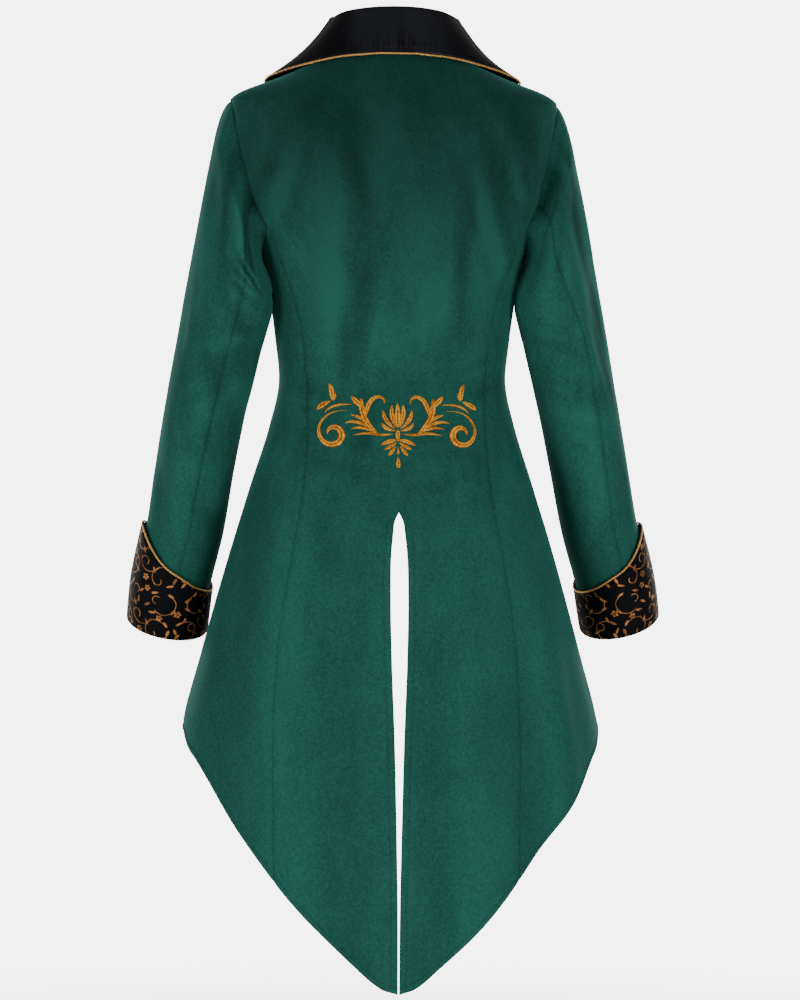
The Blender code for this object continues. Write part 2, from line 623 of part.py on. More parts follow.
def sleeve_push(turn, along, side):
    """How far the folds of one sleeve push its face out."""
    around = (np.asarray(turn) + 180) % 360 - 180
    push = np.zeros(np.broadcast(around, along).shape)
    for fold in SLEEVE_FOLDS:
        if fold.side != side:
            continue
        start = np.array([math.radians(fold.angle0) * SLEEVE_RADIUS, fold.along0])
        line = np.array([math.radians(fold.angle1) * SLEEVE_RADIUS, fold.along1]) - start
        for wrap in (-360, 0, 360):
            place = np.stack(np.broadcast_arrays(np.radians(around + wrap) * SLEEVE_RADIUS, along), axis=-1)
            part = np.clip((place - start) @ line / (line @ line), 0, 1)
            off = np.linalg.norm(place - start - part[..., None] * line, axis=-1)
            push += fold.depth * np.exp(-((off / fold.width) ** 2)) * faded(part)
    return push


def ring_normals(grid):
    """Normals of a tube whose rows are closed rings, away from its axis."""
    around = np.roll(grid, -1, axis=1) - np.roll(grid, 1, axis=1)
    down = np.gradient(grid, axis=0)
    return unit(np.cross(down, around))


def sleeve_grids(side):
    """Outer and inner points of a whole sleeve: rows down it from the armhole, columns round it."""
    angle, height = armhole_ring()
    edge = body(angle, height, np.zeros(angle.shape))
    normal = body_normal(angle, height)
    middle = edge.mean(axis=0)
    into = middle - edge
    into = unit(into - normal * (into * normal).sum(axis=1, keepdims=True))
    first = SLEEVE_RINGS[0].along
    start = edge + into * SEAM * 1.5
    turns = sleeve_turns(edge, SLEEVE_RINGS[0].left_seam if side > 0 else SLEEVE_RINGS[0].right_seam)
    lean = unit(np.array([1.0, 0.0, -0.15]))
    low = ((1 - np.cos(np.radians(turns))) / 2)[:, None]
    pull, outwards, follow = (a + (b - a) * low for a, b in (CAP_PULL, CAP_LEAN, CAP_ARRIVE))
    leave = unit(into + lean * outwards) * pull
    target = sleeve_section(turns, first, side)
    arrive = (sleeve_section(turns, first + 0.01, side) - target) * follow
    rows, places = [], []
    for t in np.linspace(0, 1, CAP_ROWS + 1)[:-1]:
        t = t**1.15
        rows.append(
            (2 * t**3 - 3 * t**2 + 1) * start
            + (t**3 - 2 * t**2 + t) * leave
            + (3 * t**2 - 2 * t**3) * target
            + (t**3 - t**2) * arrive
        )
        places.append((turns, first * t))
    for along in np.linspace(first, SLEEVE_END, SLEEVE_ROWS):
        seam = curve_through(SLEEVE_RINGS, along)[8 if side > 0 else 9]
        turns = sleeve_turns(edge, seam)
        rows.append(sleeve_section(turns, along, side))
        places.append((turns, along))
    smooth = np.array(rows)
    away = ring_normals(smooth)
    push = np.array([sleeve_push(turn, np.full(turn.shape, down), side) for turn, down in places])
    push *= np.clip(np.arange(len(push)) / CAP_ROWS, 0, 1)[:, None] ** 2
    outer = smooth + away * push[..., None]
    inner = outer - ring_normals(outer) * CLOTH
    inner[0] = start - normal * CLOTH
    return outer, inner


def between_seams(grid, first, last):
    """The columns of a ring grid from one seam to the other, each edge drawn back by half the seam's gap."""
    columns = np.arange(first, last + 1) % grid.shape[1]
    piece = grid[:, columns].copy()
    piece[:, 0] += unit(piece[:, 1] - piece[:, 0]) * SEAM / 2
    piece[:, -1] += unit(piece[:, -2] - piece[:, -1]) * SEAM / 2
    return piece


def flipped(points, side):
    return points * np.array([side, 1.0, 1.0])


def cuff_grids(side):
    """Outer and inner points of a cuff: rows from the edge turned under the sleeve up to its shaped top."""
    turn = np.linspace(0, 360, CUFF_COLUMNS + 1)
    fold = np.where(turn > 180, 360 - turn, turn)
    top = curve_through(CUFF_EDGE, fold)

    def face(turn, along, out):
        centre = sleeve_section(turn, along, side)
        round_step = sleeve_section(turn + 2, along, side) - sleeve_section(turn - 2, along, side)
        down_step = sleeve_section(turn, along + 0.004, side) - sleeve_section(turn, along - 0.004, side)
        away = unit(np.cross(down_step, round_step))
        return centre + away * np.asarray(out)[..., None]

    outwards = (1 + np.cos(np.radians(turn))) / 2
    end = SLEEVE_END + CUFF_BEYOND + CUFF_DROP[side] * outwards
    proud = CUFF_CLOSE + (CUFF_PROUD - CUFF_CLOSE) * outwards
    outer = [face(turn, end - row.outer_back, proud * row.outer_out) for row in CUFF_TURNS]
    inner = [face(turn, end - row.inner_back, proud * row.inner_out) for row in CUFF_TURNS]
    for part in np.linspace(0, 1, CUFF_ROWS + 1):
        along = SLEEVE_END + CUFF_BEYOND + (end - SLEEVE_END - CUFF_BEYOND) * (1 - part)
        along = along - CUFF_FACE - (top - CUFF_FACE) * part
        out = proud + CUFF_SWELL * math.sin(part * math.pi)
        outer.append(face(turn, along, out))
        inner.append(face(turn, along, out - CLOTH))
    return np.array(outer), np.array(inner)


def edge_cord_points(outer, inner, beyond, gap=SEAM):
    """Centre line of a cord laid along a sheet's edge, clear of it by a seam's gap."""
    middle = (outer + inner) / 2
    away, along = middle - beyond, unit(np.gradient(middle, axis=0))
    away = unit(away - along * (away * along).sum(axis=1, keepdims=True))
    return middle + away * (PIPING_RADIUS + gap)


def kept_off_body(points, lift):
    """Points moved out, where they must be, until they are this far off the body's outer face."""
    angle, height = np.meshgrid(np.linspace(0, 180, 181), np.linspace(-0.31, 0.0, 125))
    face, normal = body_face(angle, height).reshape(-1, 3), body_normal(angle, height).reshape(-1, 3)
    flat = points.reshape(-1, 3)
    nearest = np.array([np.argmin(((face - point) ** 2).sum(axis=1)) for point in flat])
    off = ((flat - face[nearest]) * normal[nearest]).sum(axis=1)
    return (flat + normal[nearest] * np.maximum(lift - off, 0)[:, None]).reshape(points.shape)


def collar_stations():
    """For one side: angles along the back of the neck, then heights and angles down the roll line."""
    part = np.linspace(0, 1, BACK_COLUMNS + 1)
    back_angle = part * float(back_edge(0.0))
    rows = np.array([FRONT_TOP, *reversed(SHOULDER_ROWS), *reversed(ARM_ROWS), *reversed(CHEST_ROWS), BREAK])
    return back_angle, rows, front_inner_edge(rows)


def collar_grids(side):
    """Outer and inner points of half the collar: rows from centre back, columns from seam to edge."""
    back_angle, roll_rows, roll_angle = collar_stations()
    lines, backs = [], []
    fall = np.linspace(0, 1, FALL_ROWS + 1)[1:]

    def section(seam_in, seam_out, fold, up, out, edge, sag):
        line = [seam_in, (seam_in + fold - out * FOLD_RADIUS) / 2]
        for turn in (180, 135, 90, 45, 0):
            lift = math.sin(math.radians(turn)) * FOLD_RADIUS
            line.append(fold + out * math.cos(math.radians(turn)) * FOLD_RADIUS + up * lift)
        start = line[-1]
        for t in fall:
            point = start + (edge - start) * t
            line.append(point - np.array([0, 0, sag * math.sin(math.pi * t**0.85)]))
        lines.append(line)
        backs.append(seam_out)

    for angle in back_angle:
        row = curve_through(COLLAR_BACK, angle)
        fold_out, fold_z, edge_angle, edge_height, sag = row
        turn = math.radians(angle)
        out = np.array([math.sin(turn), math.cos(turn), 0.0])
        seam_in = body(angle, 0.0, -CLOTH) + np.array([0, 0, SEAM])
        seam_out = body(angle, 0.0, 0.0) + np.array([0, 0, SEAM])
        fold = out * fold_out + np.array([0, 0, fold_z])
        up = unit(fold - seam_in)
        edge = body(edge_angle, edge_height, COLLAR_LIFT)
        section(seam_in, seam_out, fold, up, out, edge, sag)

    roll = body(roll_angle, roll_rows, np.zeros(roll_rows.shape))
    length = np.concatenate([[0], np.cumsum(np.linalg.norm(np.diff(roll, axis=0), axis=1))])
    down = length / length[-1]
    for i, (angle, height) in enumerate(zip(roll_angle, roll_rows)):
        stand, edge_x, edge_z = curve_through(LAPELS, down[i])
        normal = body_normal(angle, height)
        tangent = unit(roll[min(i + 1, len(roll) - 1)] - roll[max(i - 1, 0)])
        across = unit(np.cross(tangent, normal))
        across = across if across[0] < 0 else -across
        blend = max(1 - down[i] / STAND_SHARE, 0.0)
        up = unit(across * (1 - blend) + unit(np.array(STAND_UP)) * blend)
        out = unit(normal * (1 - blend) + np.array(STAND_OUT) * blend)
        out = unit(out - up * (out @ up))
        seam_in = roll[i] - normal * CLOTH + across * SEAM
        seam_out = roll[i] + across * SEAM
        fold = (seam_in + seam_out) / 2 + up * stand + out * STAND_LEAN
        edge_angle, edge_height = front_place(edge_x, edge_z)
        edge = body(edge_angle, edge_height, COLLAR_LIFT)
        section(seam_in, seam_out, fold, up, out, edge, SIDE_SAG * blend)
    outer = np.array(lines)
    outer[:, -FALL_ROWS:] = kept_off_body(outer[:, -FALL_ROWS:], COLLAR_LIFT)
    across = np.gradient(outer, axis=1)
    along = np.gradient(outer, axis=0)
    along[0] = np.array([1.0, 0, 0])
    inner = outer - unit(np.cross(across, along)) * CLOTH
    inner[:, 0] = np.array(backs)
    return outer, inner


def make_materials():
    made = {}
    for name, (colour, roughness) in MATERIALS.items():
        material = bpy.data.materials.new(name)
        material.use_nodes = True
        shader = material.node_tree.nodes["Principled BSDF"]
        shader.inputs["Base Color"].default_value = colour
        shader.inputs["Roughness"].default_value = roughness
        made[name] = material
    return made


def main():
    clear_scene()
    coat = bpy.data.collections.new("tailcoat")
    bpy.context.scene.collection.children.link(coat)
    cloth = make_materials()
    solid("back", back_sheets(), cloth["velvet"], coat)
    collar, pipes = [], []
    for side, word in ((1, "left"), (-1, "right")):
        solid(f"side_back_{word}", side_sheets(side), cloth["velvet"], coat)
        solid(f"front_{word}", front_sheets(side), cloth["velvet"], coat)
        outer, inner = (flipped(grid, side) for grid in sleeve_grids(side))
        for name, first, last in (
            ("under", BACK_SEAM_AT, FRONT_SEAM_AT),
            ("top", FRONT_SEAM_AT, BACK_SEAM_AT + outer.shape[1]),
        ):
            sheet = between_seams(outer, first, last), between_seams(inner, first, last)
            solid(f"sleeve_{name}_{word}", [sheet], cloth["velvet"], coat)
        outer, inner = (flipped(grid, side) for grid in cuff_grids(side))
        solid(f"cuff_{word}", [(outer, inner)], cloth["brocade"], coat)
        line = edge_cord_points(outer[-1, :-1], inner[-1, :-1], (outer[-2, :-1] + inner[-2, :-1]) / 2)
        cord(f"cuff_piping_{word}", line, True, cloth["gold_cord"], coat)
        outer, inner = (flipped(grid, side) for grid in collar_grids(side))
        collar.append((outer, inner))
        pipes.append(edge_cord_points(outer[:, -1], inner[:, -1], (outer[:, -2] + inner[:, -2]) / 2))
    solid("collar", collar, cloth["satin"], coat)
    line = np.concatenate([pipes[0][::-1], pipes[1][1:]])
    cord("collar_piping", line, False, cloth["gold_cord"], coat)


main()
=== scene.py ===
"""Looks of a worn, hollow velvet tailcoat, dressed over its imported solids.

Metres, +Z up, the coat's front faces -Y and the wearer's left is +X. Angles go round the body:
centre back 0, side 90, centre front 180, + to the wearer's left. Heights name the rings of the body:
the true height up to the chest, and on to 0 at the neck seam.
"""

import math
from collections import namedtuple

import bmesh
import bpy
import numpy as np
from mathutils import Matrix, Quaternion, Vector


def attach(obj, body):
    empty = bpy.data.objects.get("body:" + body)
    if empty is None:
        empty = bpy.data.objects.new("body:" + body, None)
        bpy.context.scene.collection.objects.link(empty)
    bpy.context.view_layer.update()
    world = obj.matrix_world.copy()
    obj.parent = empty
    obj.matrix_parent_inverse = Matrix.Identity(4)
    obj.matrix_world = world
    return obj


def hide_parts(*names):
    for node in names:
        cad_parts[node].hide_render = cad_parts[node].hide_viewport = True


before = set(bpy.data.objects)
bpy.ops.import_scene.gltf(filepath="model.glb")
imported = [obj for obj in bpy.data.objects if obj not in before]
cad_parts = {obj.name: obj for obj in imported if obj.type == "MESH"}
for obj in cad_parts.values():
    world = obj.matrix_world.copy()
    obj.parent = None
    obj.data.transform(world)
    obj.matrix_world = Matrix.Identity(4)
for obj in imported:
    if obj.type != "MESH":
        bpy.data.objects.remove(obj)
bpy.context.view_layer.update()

bl_info = {
    "name": "Velvet tailcoat",
    "version": (1, 0, 0),
    "blender": (4, 5, 0),
    "location": "View3D > Sidebar > Tailcoat",
    "description": "Makes the cloth, trimmings, embroidery and stage of a velvet tailcoat",
    "category": "Object",
}


def rows_of(kind, rows, *lead):
    """A table's rows as tuples of named values; lead comes first in each."""
    return tuple(kind(*lead, *row) for row in rows)


CLOTH = 0.0020  # wall of velvet and its backing, as in the solids
SHELL = 0.0015  # wall of the shown cloth, inside that
SEAM = 0.0003  # between the solids, and under the collar's and sleeves' first rows
SHOWN_SEAM = 0.00012  # between the shown pieces where they are sewn, so that no light comes through
PIPING_RADIUS = 0.00130  # of the shown cord; its solid is a little thicker
SIDES = ((1, "left"), (-1, "right"))
UP = np.array([0.0, 0.0, 1.0])

# Heights of the body's corners.
SHOULDER = -0.070  # end of the shoulder seam, at the armhole
ARM_JOIN = -0.205  # top of the curved back seam, at the armhole
UNDERARM = -0.240  # lowest point of the armhole, and top of the side seam
BREAK = -0.270  # lower end of the lapels' roll line
MEET = -0.285  # below this the fronts meet edge to edge
VENT_TOP = -0.531  # top of the slit between the tails
FRONT_POINT = -0.722  # lowest point of the front, on its cutaway edge
FRONT_TOP = -0.0016  # top of the front, at the neck seam

# Rings of the body: half width, depths behind and before the axis, heights at back, side and front.
Ring = namedtuple("Ring", "height half_width back front z_back z_side z_front squareness")
RINGS = rows_of(Ring, (
    (-1.100, 0.250, 0.158, 0.150, -1.100, -1.100, -1.100, 2.20),
    (-0.930, 0.248, 0.158, 0.150, -0.930, -0.930, -0.930, 2.20),
    (-0.780, 0.243, 0.155, 0.148, -0.780, -0.780, -0.780, 2.20),
    (-0.690, 0.220, 0.150, 0.142, -0.690, -0.690, -0.690, 2.20),
    (-0.600, 0.195, 0.141, 0.135, -0.600, -0.600, -0.600, 2.20),
    (-0.500, 0.165, 0.120, 0.122, -0.500, -0.500, -0.500, 2.25),
    (-0.430, 0.1430, 0.099, 0.110, -0.430, -0.430, -0.430, 2.30),
    (-0.383, 0.1328, 0.088, 0.103, -0.383, -0.383, -0.383, 2.30),
    (-0.330, 0.1370, 0.091, 0.108, -0.330, -0.330, -0.330, 2.30),
    (-0.280, 0.1440, 0.098, 0.124, -0.280, -0.280, -0.280, 2.30),
    (-0.235, 0.1530, 0.107, 0.130, -0.235, -0.235, -0.235, 2.35),
    (-0.190, 0.1700, 0.113, 0.126, -0.196, -0.186, -0.200, 2.40),
    (-0.150, 0.1830, 0.113, 0.118, -0.161, -0.142, -0.167, 2.50),
    (-0.110, 0.1885, 0.107, 0.107, -0.128, -0.098, -0.138, 2.50),
    (-0.070, 0.1910, 0.096, 0.092, -0.093, -0.0528, -0.110, 2.50),
    (-0.030, 0.1300, 0.074, 0.074, -0.045, -0.0245, -0.085, 2.30),
    (0.000, 0.0750, 0.050, 0.060, 0.010, 0.000, -0.065, 2.10),
))

# Where each long seam or edge lies, as its distance from the centre at a height.
AtHeight = namedtuple("AtHeight", "height across")
BACK_SEAM = rows_of(AtHeight, (
    (-1.000, 0.137), (-0.870, 0.139), (-0.780, 0.140), (-0.700, 0.136), (-0.620, 0.126),
    (-0.550, 0.1145), (-0.480, 0.1045), (-0.420, 0.1020), (-0.360, 0.1050), (-0.310, 0.1120),
    (-0.260, 0.1270), (-0.205, 0.1500),
))
VENT_EDGE = rows_of(AtHeight, (
    (-1.100, 0.0010), (-0.980, 0.0012), (-0.880, 0.0030), (-0.780, 0.0055), (-0.700, 0.0085),
    (-0.620, 0.0098), (-0.580, 0.0090), (-0.555, 0.0066), (-0.540, 0.0044), (-0.531, 0.0000),
))

# The hem of the tails, seen from behind: height of the edge at a distance from the centre.
HemPoint = namedtuple("HemPoint", "across height")
HEM = rows_of(HemPoint, (
    (0.0000, -1.0680), (0.0045, -1.0665), (0.0176, -1.0626), (0.0266, -1.0570), (0.0466, -1.0403),
    (0.0832, -1.0055), (0.1131, -0.9735), (0.1397, -0.9415), (0.1655, -0.9095), (0.1890, -0.8778),
    (0.2106, -0.8462), (0.2290, -0.8148), (0.2395, -0.7950), (0.2435, -0.7780),
))

# Side seam, cutaway edge and armhole edges, by height: their angles, or the distance from the centre.
Turn = namedtuple("Turn", "height angle")
SIDE_SEAM = rows_of(Turn, ((-0.78, 96.0), (-0.60, 95.0), (-0.383, 93.0), (-0.24, 92.0)))
CUTAWAY = rows_of(Turn, (
    (-0.784, 86.0), (-0.768, 88.5), (-0.745, 93.0), (-0.722, 97.0), (-0.690, 102.0), (-0.640, 111.5),
    (-0.580, 125.0), (-0.520, 141.5), (-0.470, 157.0), (-0.440, 167.0), (-0.420, 173.5),
    (-0.405, 178.0), (-0.395, 180.0),
))
ARMHOLE_BACK = rows_of(AtHeight, (
    (-0.205, 0.1500), (-0.180, 0.1630), (-0.150, 0.1730), (-0.120, 0.1805), (-0.098, 0.1853),
    (-0.080, 0.1885), (-0.070, 0.1910),
))
ARMHOLE_FRONT = rows_of(Turn, (
    (-0.240, 92.0), (-0.234, 99.5), (-0.222, 107.0), (-0.205, 112.0), (-0.180, 114.5), (-0.150, 113.5),
    (-0.120, 109.0), (-0.098, 103.0), (-0.080, 96.0), (-0.070, 90.0),
))
# Heights at which the pieces have rows: up the armhole, then along the shoulder seam.
CHEST_ROWS = (-0.240, -0.234, -0.222, -0.205)
ARM_ROWS = (-0.180, -0.150, -0.120, -0.098, -0.080, -0.070)
SHOULDER_ROWS = (-0.050, -0.030, -0.015)
SIDE_COLUMNS = 5  # of the armhole's ring, from the curved back seam to the side seam
ARM_CURVE = 2.2  # power of the curve in which the side back's top falls from the armhole
FRONT_CURVE = 1.7  # power by which the front's columns keep away from its armhole
# Heights between which the columns of the back, and of the side backs, meet the hem.
HEM_SEARCH, SIDE_HEM_SEARCH = (-1.099, -0.70), (-1.05, -0.72)

# Folds of the body along lines seen straight on: soft ridges (+) and troughs (-), bowed sideways,
# each with lips beside it as a share of its depth, and fading at its ends.
Fold = namedtuple("Fold", "face x0 z0 x1 z1 bow width depth lips")
BODY_FOLDS = (
    rows_of(Fold, (
        (0.046, -0.130, 0.041, -0.260, 0.004, 0.012, -0.0032, 0.30),
        (0.041, -0.220, 0.064, -0.390, -0.004, 0.014, -0.0036, 0.30),
        (0.018, -0.090, 0.007, -0.170, 0.000, 0.012, -0.0022, 0.20),
        (-0.082, -0.130, -0.085, -0.330, 0.003, 0.013, -0.0030, 0.30),
        (-0.098, -0.090, -0.134, -0.240, 0.004, 0.012, -0.0032, 0.35),
        (-0.148, -0.110, -0.160, -0.200, 0.000, 0.010, 0.0024, 0.20),
        (0.119, -0.090, 0.153, -0.155, -0.004, 0.011, -0.0030, 0.30),
        (0.139, -0.190, 0.106, -0.260, 0.003, 0.010, 0.0022, 0.20),
        (0.058, -0.404, 0.126, -0.380, 0.002, 0.010, -0.0020, 0.25),
        (-0.062, -0.400, -0.128, -0.372, 0.002, 0.010, -0.0020, 0.25),
        (0.168, -0.530, 0.212, -0.900, 0.006, 0.026, -0.0085, 0.10),
        (0.116, -0.560, 0.132, -1.150, 0.000, 0.028, 0.0052, 0.10),
        (0.060, -0.600, 0.062, -1.350, 0.000, 0.026, -0.0046, 0.10),
        (-0.162, -0.560, -0.204, -0.930, 0.004, 0.022, 0.0068, 0.10),
        (-0.146, -0.660, -0.166, -1.000, 0.000, 0.022, -0.0058, 0.10),
        (-0.090, -0.560, -0.096, -1.250, 0.000, 0.028, 0.0042, 0.10),
        (-0.045, -0.600, -0.048, -1.350, 0.000, 0.022, -0.0036, 0.10),
    ), "back")
    + rows_of(Fold, (
        (0.060, -0.256, 0.112, -0.220, 0.003, 0.014, -0.0032, 0.20),
        (-0.058, -0.260, -0.116, -0.214, 0.003, 0.014, -0.0030, 0.20),
        (0.034, -0.366, 0.122, -0.388, 0.002, 0.010, -0.0024, 0.25),
        (-0.030, -0.384, -0.122, -0.370, 0.002, 0.010, -0.0026, 0.25),
        (0.132, -0.470, 0.180, -0.720, 0.004, 0.018, -0.0055, 0.10),
        (-0.128, -0.465, -0.176, -0.700, 0.004, 0.018, -0.0050, 0.10),
    ), "front")
    # Small creases that only the shown cloth has.
    + rows_of(Fold, (
        (0.056, -0.190, 0.061, -0.262, 0.002, 0.0055, -0.0011, 0.6),
        (0.030, -0.300, 0.044, -0.372, 0.002, 0.0060, -0.0010, 0.5),
        (-0.070, -0.160, -0.076, -0.290, 0.002, 0.0060, -0.0010, 0.5),
        (-0.118, -0.140, -0.146, -0.196, 0.003, 0.0055, -0.0013, 0.6),
        (-0.104, -0.118, -0.124, -0.160, 0.002, 0.0050, 0.0009, 0.4),
        (0.128, -0.140, 0.150, -0.190, -0.003, 0.0055, -0.0012, 0.6),
        (0.150, -0.214, 0.116, -0.232, 0.002, 0.0060, -0.0012, 0.5),
        (-0.150, -0.216, -0.112, -0.240, 0.002, 0.0060, -0.0011, 0.5),
        (0.074, -0.420, 0.120, -0.408, 0.002, 0.0055, -0.0009, 0.5),
        (-0.070, -0.372, -0.118, -0.352, -0.002, 0.0060, -0.0009, 0.5),
        (0.020, -0.498, 0.086, -0.470, 0.004, 0.0090, -0.0008, 0.4),
        (-0.024, -0.500, -0.090, -0.476, 0.004, 0.0090, -0.0008, 0.4),
        (0.200, -0.620, 0.224, -0.800, 0.003, 0.0110, 0.0022, 0.3),
        (-0.186, -0.640, -0.216, -0.820, 0.003, 0.0100, -0.0020, 0.3),
    ), "back")
    + rows_of(Fold, (
        (0.050, -0.300, 0.104, -0.262, 0.003, 0.0070, -0.0012, 0.5),
        (-0.040, -0.310, -0.100, -0.262, 0.003, 0.0070, -0.0013, 0.5),
        (0.020, -0.402, 0.100, -0.410, 0.002, 0.0060, -0.0010, 0.5),
        (-0.024, -0.350, -0.098, -0.344, 0.002, 0.0060, -0.0010, 0.5),
        (0.126, -0.216, 0.150, -0.180, 0.002, 0.0060, -0.0013, 0.5),
        (-0.122, -0.214, -0.148, -0.176, 0.002, 0.0060, -0.0013, 0.5),
    ), "front")
)

# Bands of painted light (+) and painted shade (-) on the velvet, as the folds' rows: paler where the cloth
# leans to the light, deeper where it turns away; they give the velvet's large uneven shading, and have no
# depth of their own.
PAINTED_SHADING_BANDS = (
    rows_of(Fold, (
        (0.156, -0.215, 0.116, -0.100, 0.004, 0.011, 1.5, 0.3),
        (0.017, -0.040, 0.010, -0.175, 0.002, 0.018, 1.3, 0.3),
        (0.060, -0.090, 0.030, -0.200, 0.006, 0.014, -1.1, 0.0),
        (0.030, -0.180, 0.036, -0.320, -0.003, 0.018, -0.6, 0.2),
        (0.078, -0.150, 0.082, -0.340, 0.000, 0.021, 1.5, 0.0),
        (-0.086, -0.108, -0.127, -0.270, 0.006, 0.009, 1.7, 0.4),
        (-0.130, -0.128, -0.147, -0.180, 0.002, 0.006, 1.3, 0.6),
        (-0.070, -0.190, -0.074, -0.335, 0.000, 0.008, -0.4, 0.3),
        (-0.096, -0.165, -0.094, -0.330, 0.000, 0.014, 0.9, 0.0),
        (-0.034, -0.165, -0.032, -0.350, 0.000, 0.022, 0.9, 0.0),
        (-0.120, -0.050, -0.160, -0.125, 0.000, 0.020, -0.9, 0.0),
        (0.100, -0.050, 0.070, -0.120, 0.000, 0.026, -0.8, 0.0),
        (0.128, -0.250, 0.114, -0.390, 0.004, 0.008, -0.8, 0.3),
        (0.110, -0.470, 0.150, -0.900, 0.004, 0.020, 0.8, 0.4),
        (-0.120, -0.480, -0.160, -0.880, 0.004, 0.022, 0.8, 0.4),
        (0.020, -0.380, 0.050, -0.520, 0.004, 0.016, -0.5, 0.2),
    ), "back")
)

# Rings of a sleeve: outer and inner points seen from behind, depths, and the angle of each back seam.
SleeveRing = namedtuple(
    "SleeveRing",
    "along outer_x outer_z inner_x inner_z inner_y middle_y half_depth back_drop left_seam right_seam",
)
SLEEVE_RINGS = rows_of(SleeveRing, (
    (0.055, 0.2115, -0.107, 0.1525, -0.256, 0.015, -0.004, 0.066, 0.006, 108.0, 100.0),
    (0.120, 0.2250, -0.178, 0.1450, -0.278, 0.030, -0.004, 0.064, 0.006, 107.0, 93.0),
    (0.190, 0.2378, -0.248, 0.1415, -0.300, 0.032, -0.004, 0.062, 0.006, 105.0, 82.0),
    (0.260, 0.2500, -0.318, 0.1520, -0.338, 0.022, -0.005, 0.059, 0.006, 103.0, 70.0),
    (0.330, 0.2628, -0.388, 0.1700, -0.408, 0.010, -0.008, 0.056, 0.008, 101.0, 68.0),
    (0.400, 0.2752, -0.458, 0.1850, -0.478, 0.002, -0.016, 0.053, 0.011, 98.0, 70.0),
    (0.480, 0.2887, -0.536, 0.2003, -0.556, 0.000, -0.032, 0.050, 0.014, 95.0, 73.0),
    (0.560, 0.3060, -0.612, 0.2203, -0.632, 0.000, -0.050, 0.047, 0.015, 93.0, 75.0),
    (0.620, 0.3140, -0.668, 0.2278, -0.688, 0.000, -0.064, 0.046, 0.015, 93.0, 75.0),
))
SWAY = 0.14  # how far a sleeve that swings forward moves sideways, as a share of that
SLEEVE_END = 0.599  # length of the sleeve under its cuff
FRONT_SEAM = 246.0  # angle of each front seam
BACK_SEAM_AT, FRONT_SEAM_AT = 5, 14  # points of the armhole's ring where the sleeve's seams start
# The sleeve head's curve from the armhole to its first ring, at its top and under the arm: pull at the
# armhole, lean outwards there, and pull at the ring.
CAP_PULL, CAP_LEAN, CAP_ARRIVE = (0.045, 0.020), (0.35, 0.80), (4.5, 2.5)
CAP_OUT = (1.0, 0.0, -0.15)  # the way that it leans
SLEEVE_RADIUS = 0.050  # turns a fold's angles into distances round the sleeve

# Folds of the sleeves, by angle round the sleeve and distance down it; side is +1 left, -1 right.
SleeveFold = namedtuple("SleeveFold", "side angle0 along0 angle1 along1 width depth lips")
SLEEVE_FOLDS = (
    rows_of(SleeveFold, (
        (40, 0.060, 62, 0.170, 0.013, -0.0032, 0.35), (78, 0.140, 120, 0.190, 0.012, -0.0030, 0.35),
        (60, 0.300, 160, 0.270, 0.014, -0.0045, 0.30), (75, 0.350, 170, 0.310, 0.013, 0.0030, 0.20),
        (30, 0.410, 45, 0.490, 0.012, -0.0026, 0.30), (90, 0.430, 150, 0.470, 0.012, -0.0028, 0.30),
        (-60, 0.290, -150, 0.300, 0.016, -0.0055, 0.25), (-70, 0.240, -160, 0.250, 0.014, 0.0030, 0.20),
        (-40, 0.370, -120, 0.350, 0.014, -0.0035, 0.25),
    ), 1)
    + rows_of(SleeveFold, (
        (55, 0.070, 48, 0.180, 0.013, -0.0034, 0.35), (48, 0.180, 28, 0.330, 0.013, -0.0032, 0.35),
        (72, 0.110, 60, 0.260, 0.014, 0.0026, 0.25), (50, 0.330, 150, 0.300, 0.014, -0.0036, 0.30),
        (60, 0.450, 95, 0.490, 0.016, -0.0026, 0.30), (-55, 0.280, -150, 0.295, 0.016, -0.0052, 0.25),
        (-70, 0.225, -160, 0.240, 0.014, 0.0030, 0.20), (-45, 0.360, -125, 0.345, 0.014, -0.0036, 0.25),
    ), -1)
    # Small creases that only the shown cloth has.
    + rows_of(SleeveFold, (
        (64, 0.090, 80, 0.210, 0.0060, -0.0012, 0.6), (100, 0.120, 140, 0.165, 0.0060, -0.0016, 0.6),
        (88, 0.250, 150, 0.235, 0.0065, -0.0014, 0.5), (60, 0.330, 120, 0.305, 0.0060, -0.0012, 0.5),
        (48, 0.500, 66, 0.560, 0.0065, -0.0013, 0.5), (20, 0.200, 34, 0.300, 0.0070, -0.0011, 0.5),
        (-80, 0.320, -150, 0.335, 0.0070, -0.0016, 0.5), (-50, 0.120, -70, 0.220, 0.0075, -0.0014, 0.5),
        (-30, 0.480, -60, 0.560, 0.0075, -0.0013, 0.5), (172, -0.060, 178, 0.140, 0.0220, 0.0084, 0.0),
    ), 1)
    + rows_of(SleeveFold, (
        (36, 0.080, 30, 0.210, 0.0060, -0.0013, 0.6), (86, 0.100, 96, 0.200, 0.0060, -0.0012, 0.6),
        (60, 0.210, 42, 0.330, 0.0060, -0.0012, 0.5), (90, 0.270, 150, 0.250, 0.0065, -0.0015, 0.5),
        (70, 0.360, 120, 0.345, 0.0065, -0.0012, 0.5), (40, 0.400, 50, 0.520, 0.0070, -0.0012, 0.5),
        (-80, 0.310, -150, 0.325, 0.0070, -0.0016, 0.5), (-55, 0.130, -72, 0.220, 0.0075, -0.0014, 0.5),
        (-36, 0.470, -62, 0.560, 0.0075, -0.0012, 0.5), (172, -0.060, 178, 0.170, 0.0240, 0.0076, 0.0),
    ), -1)
)
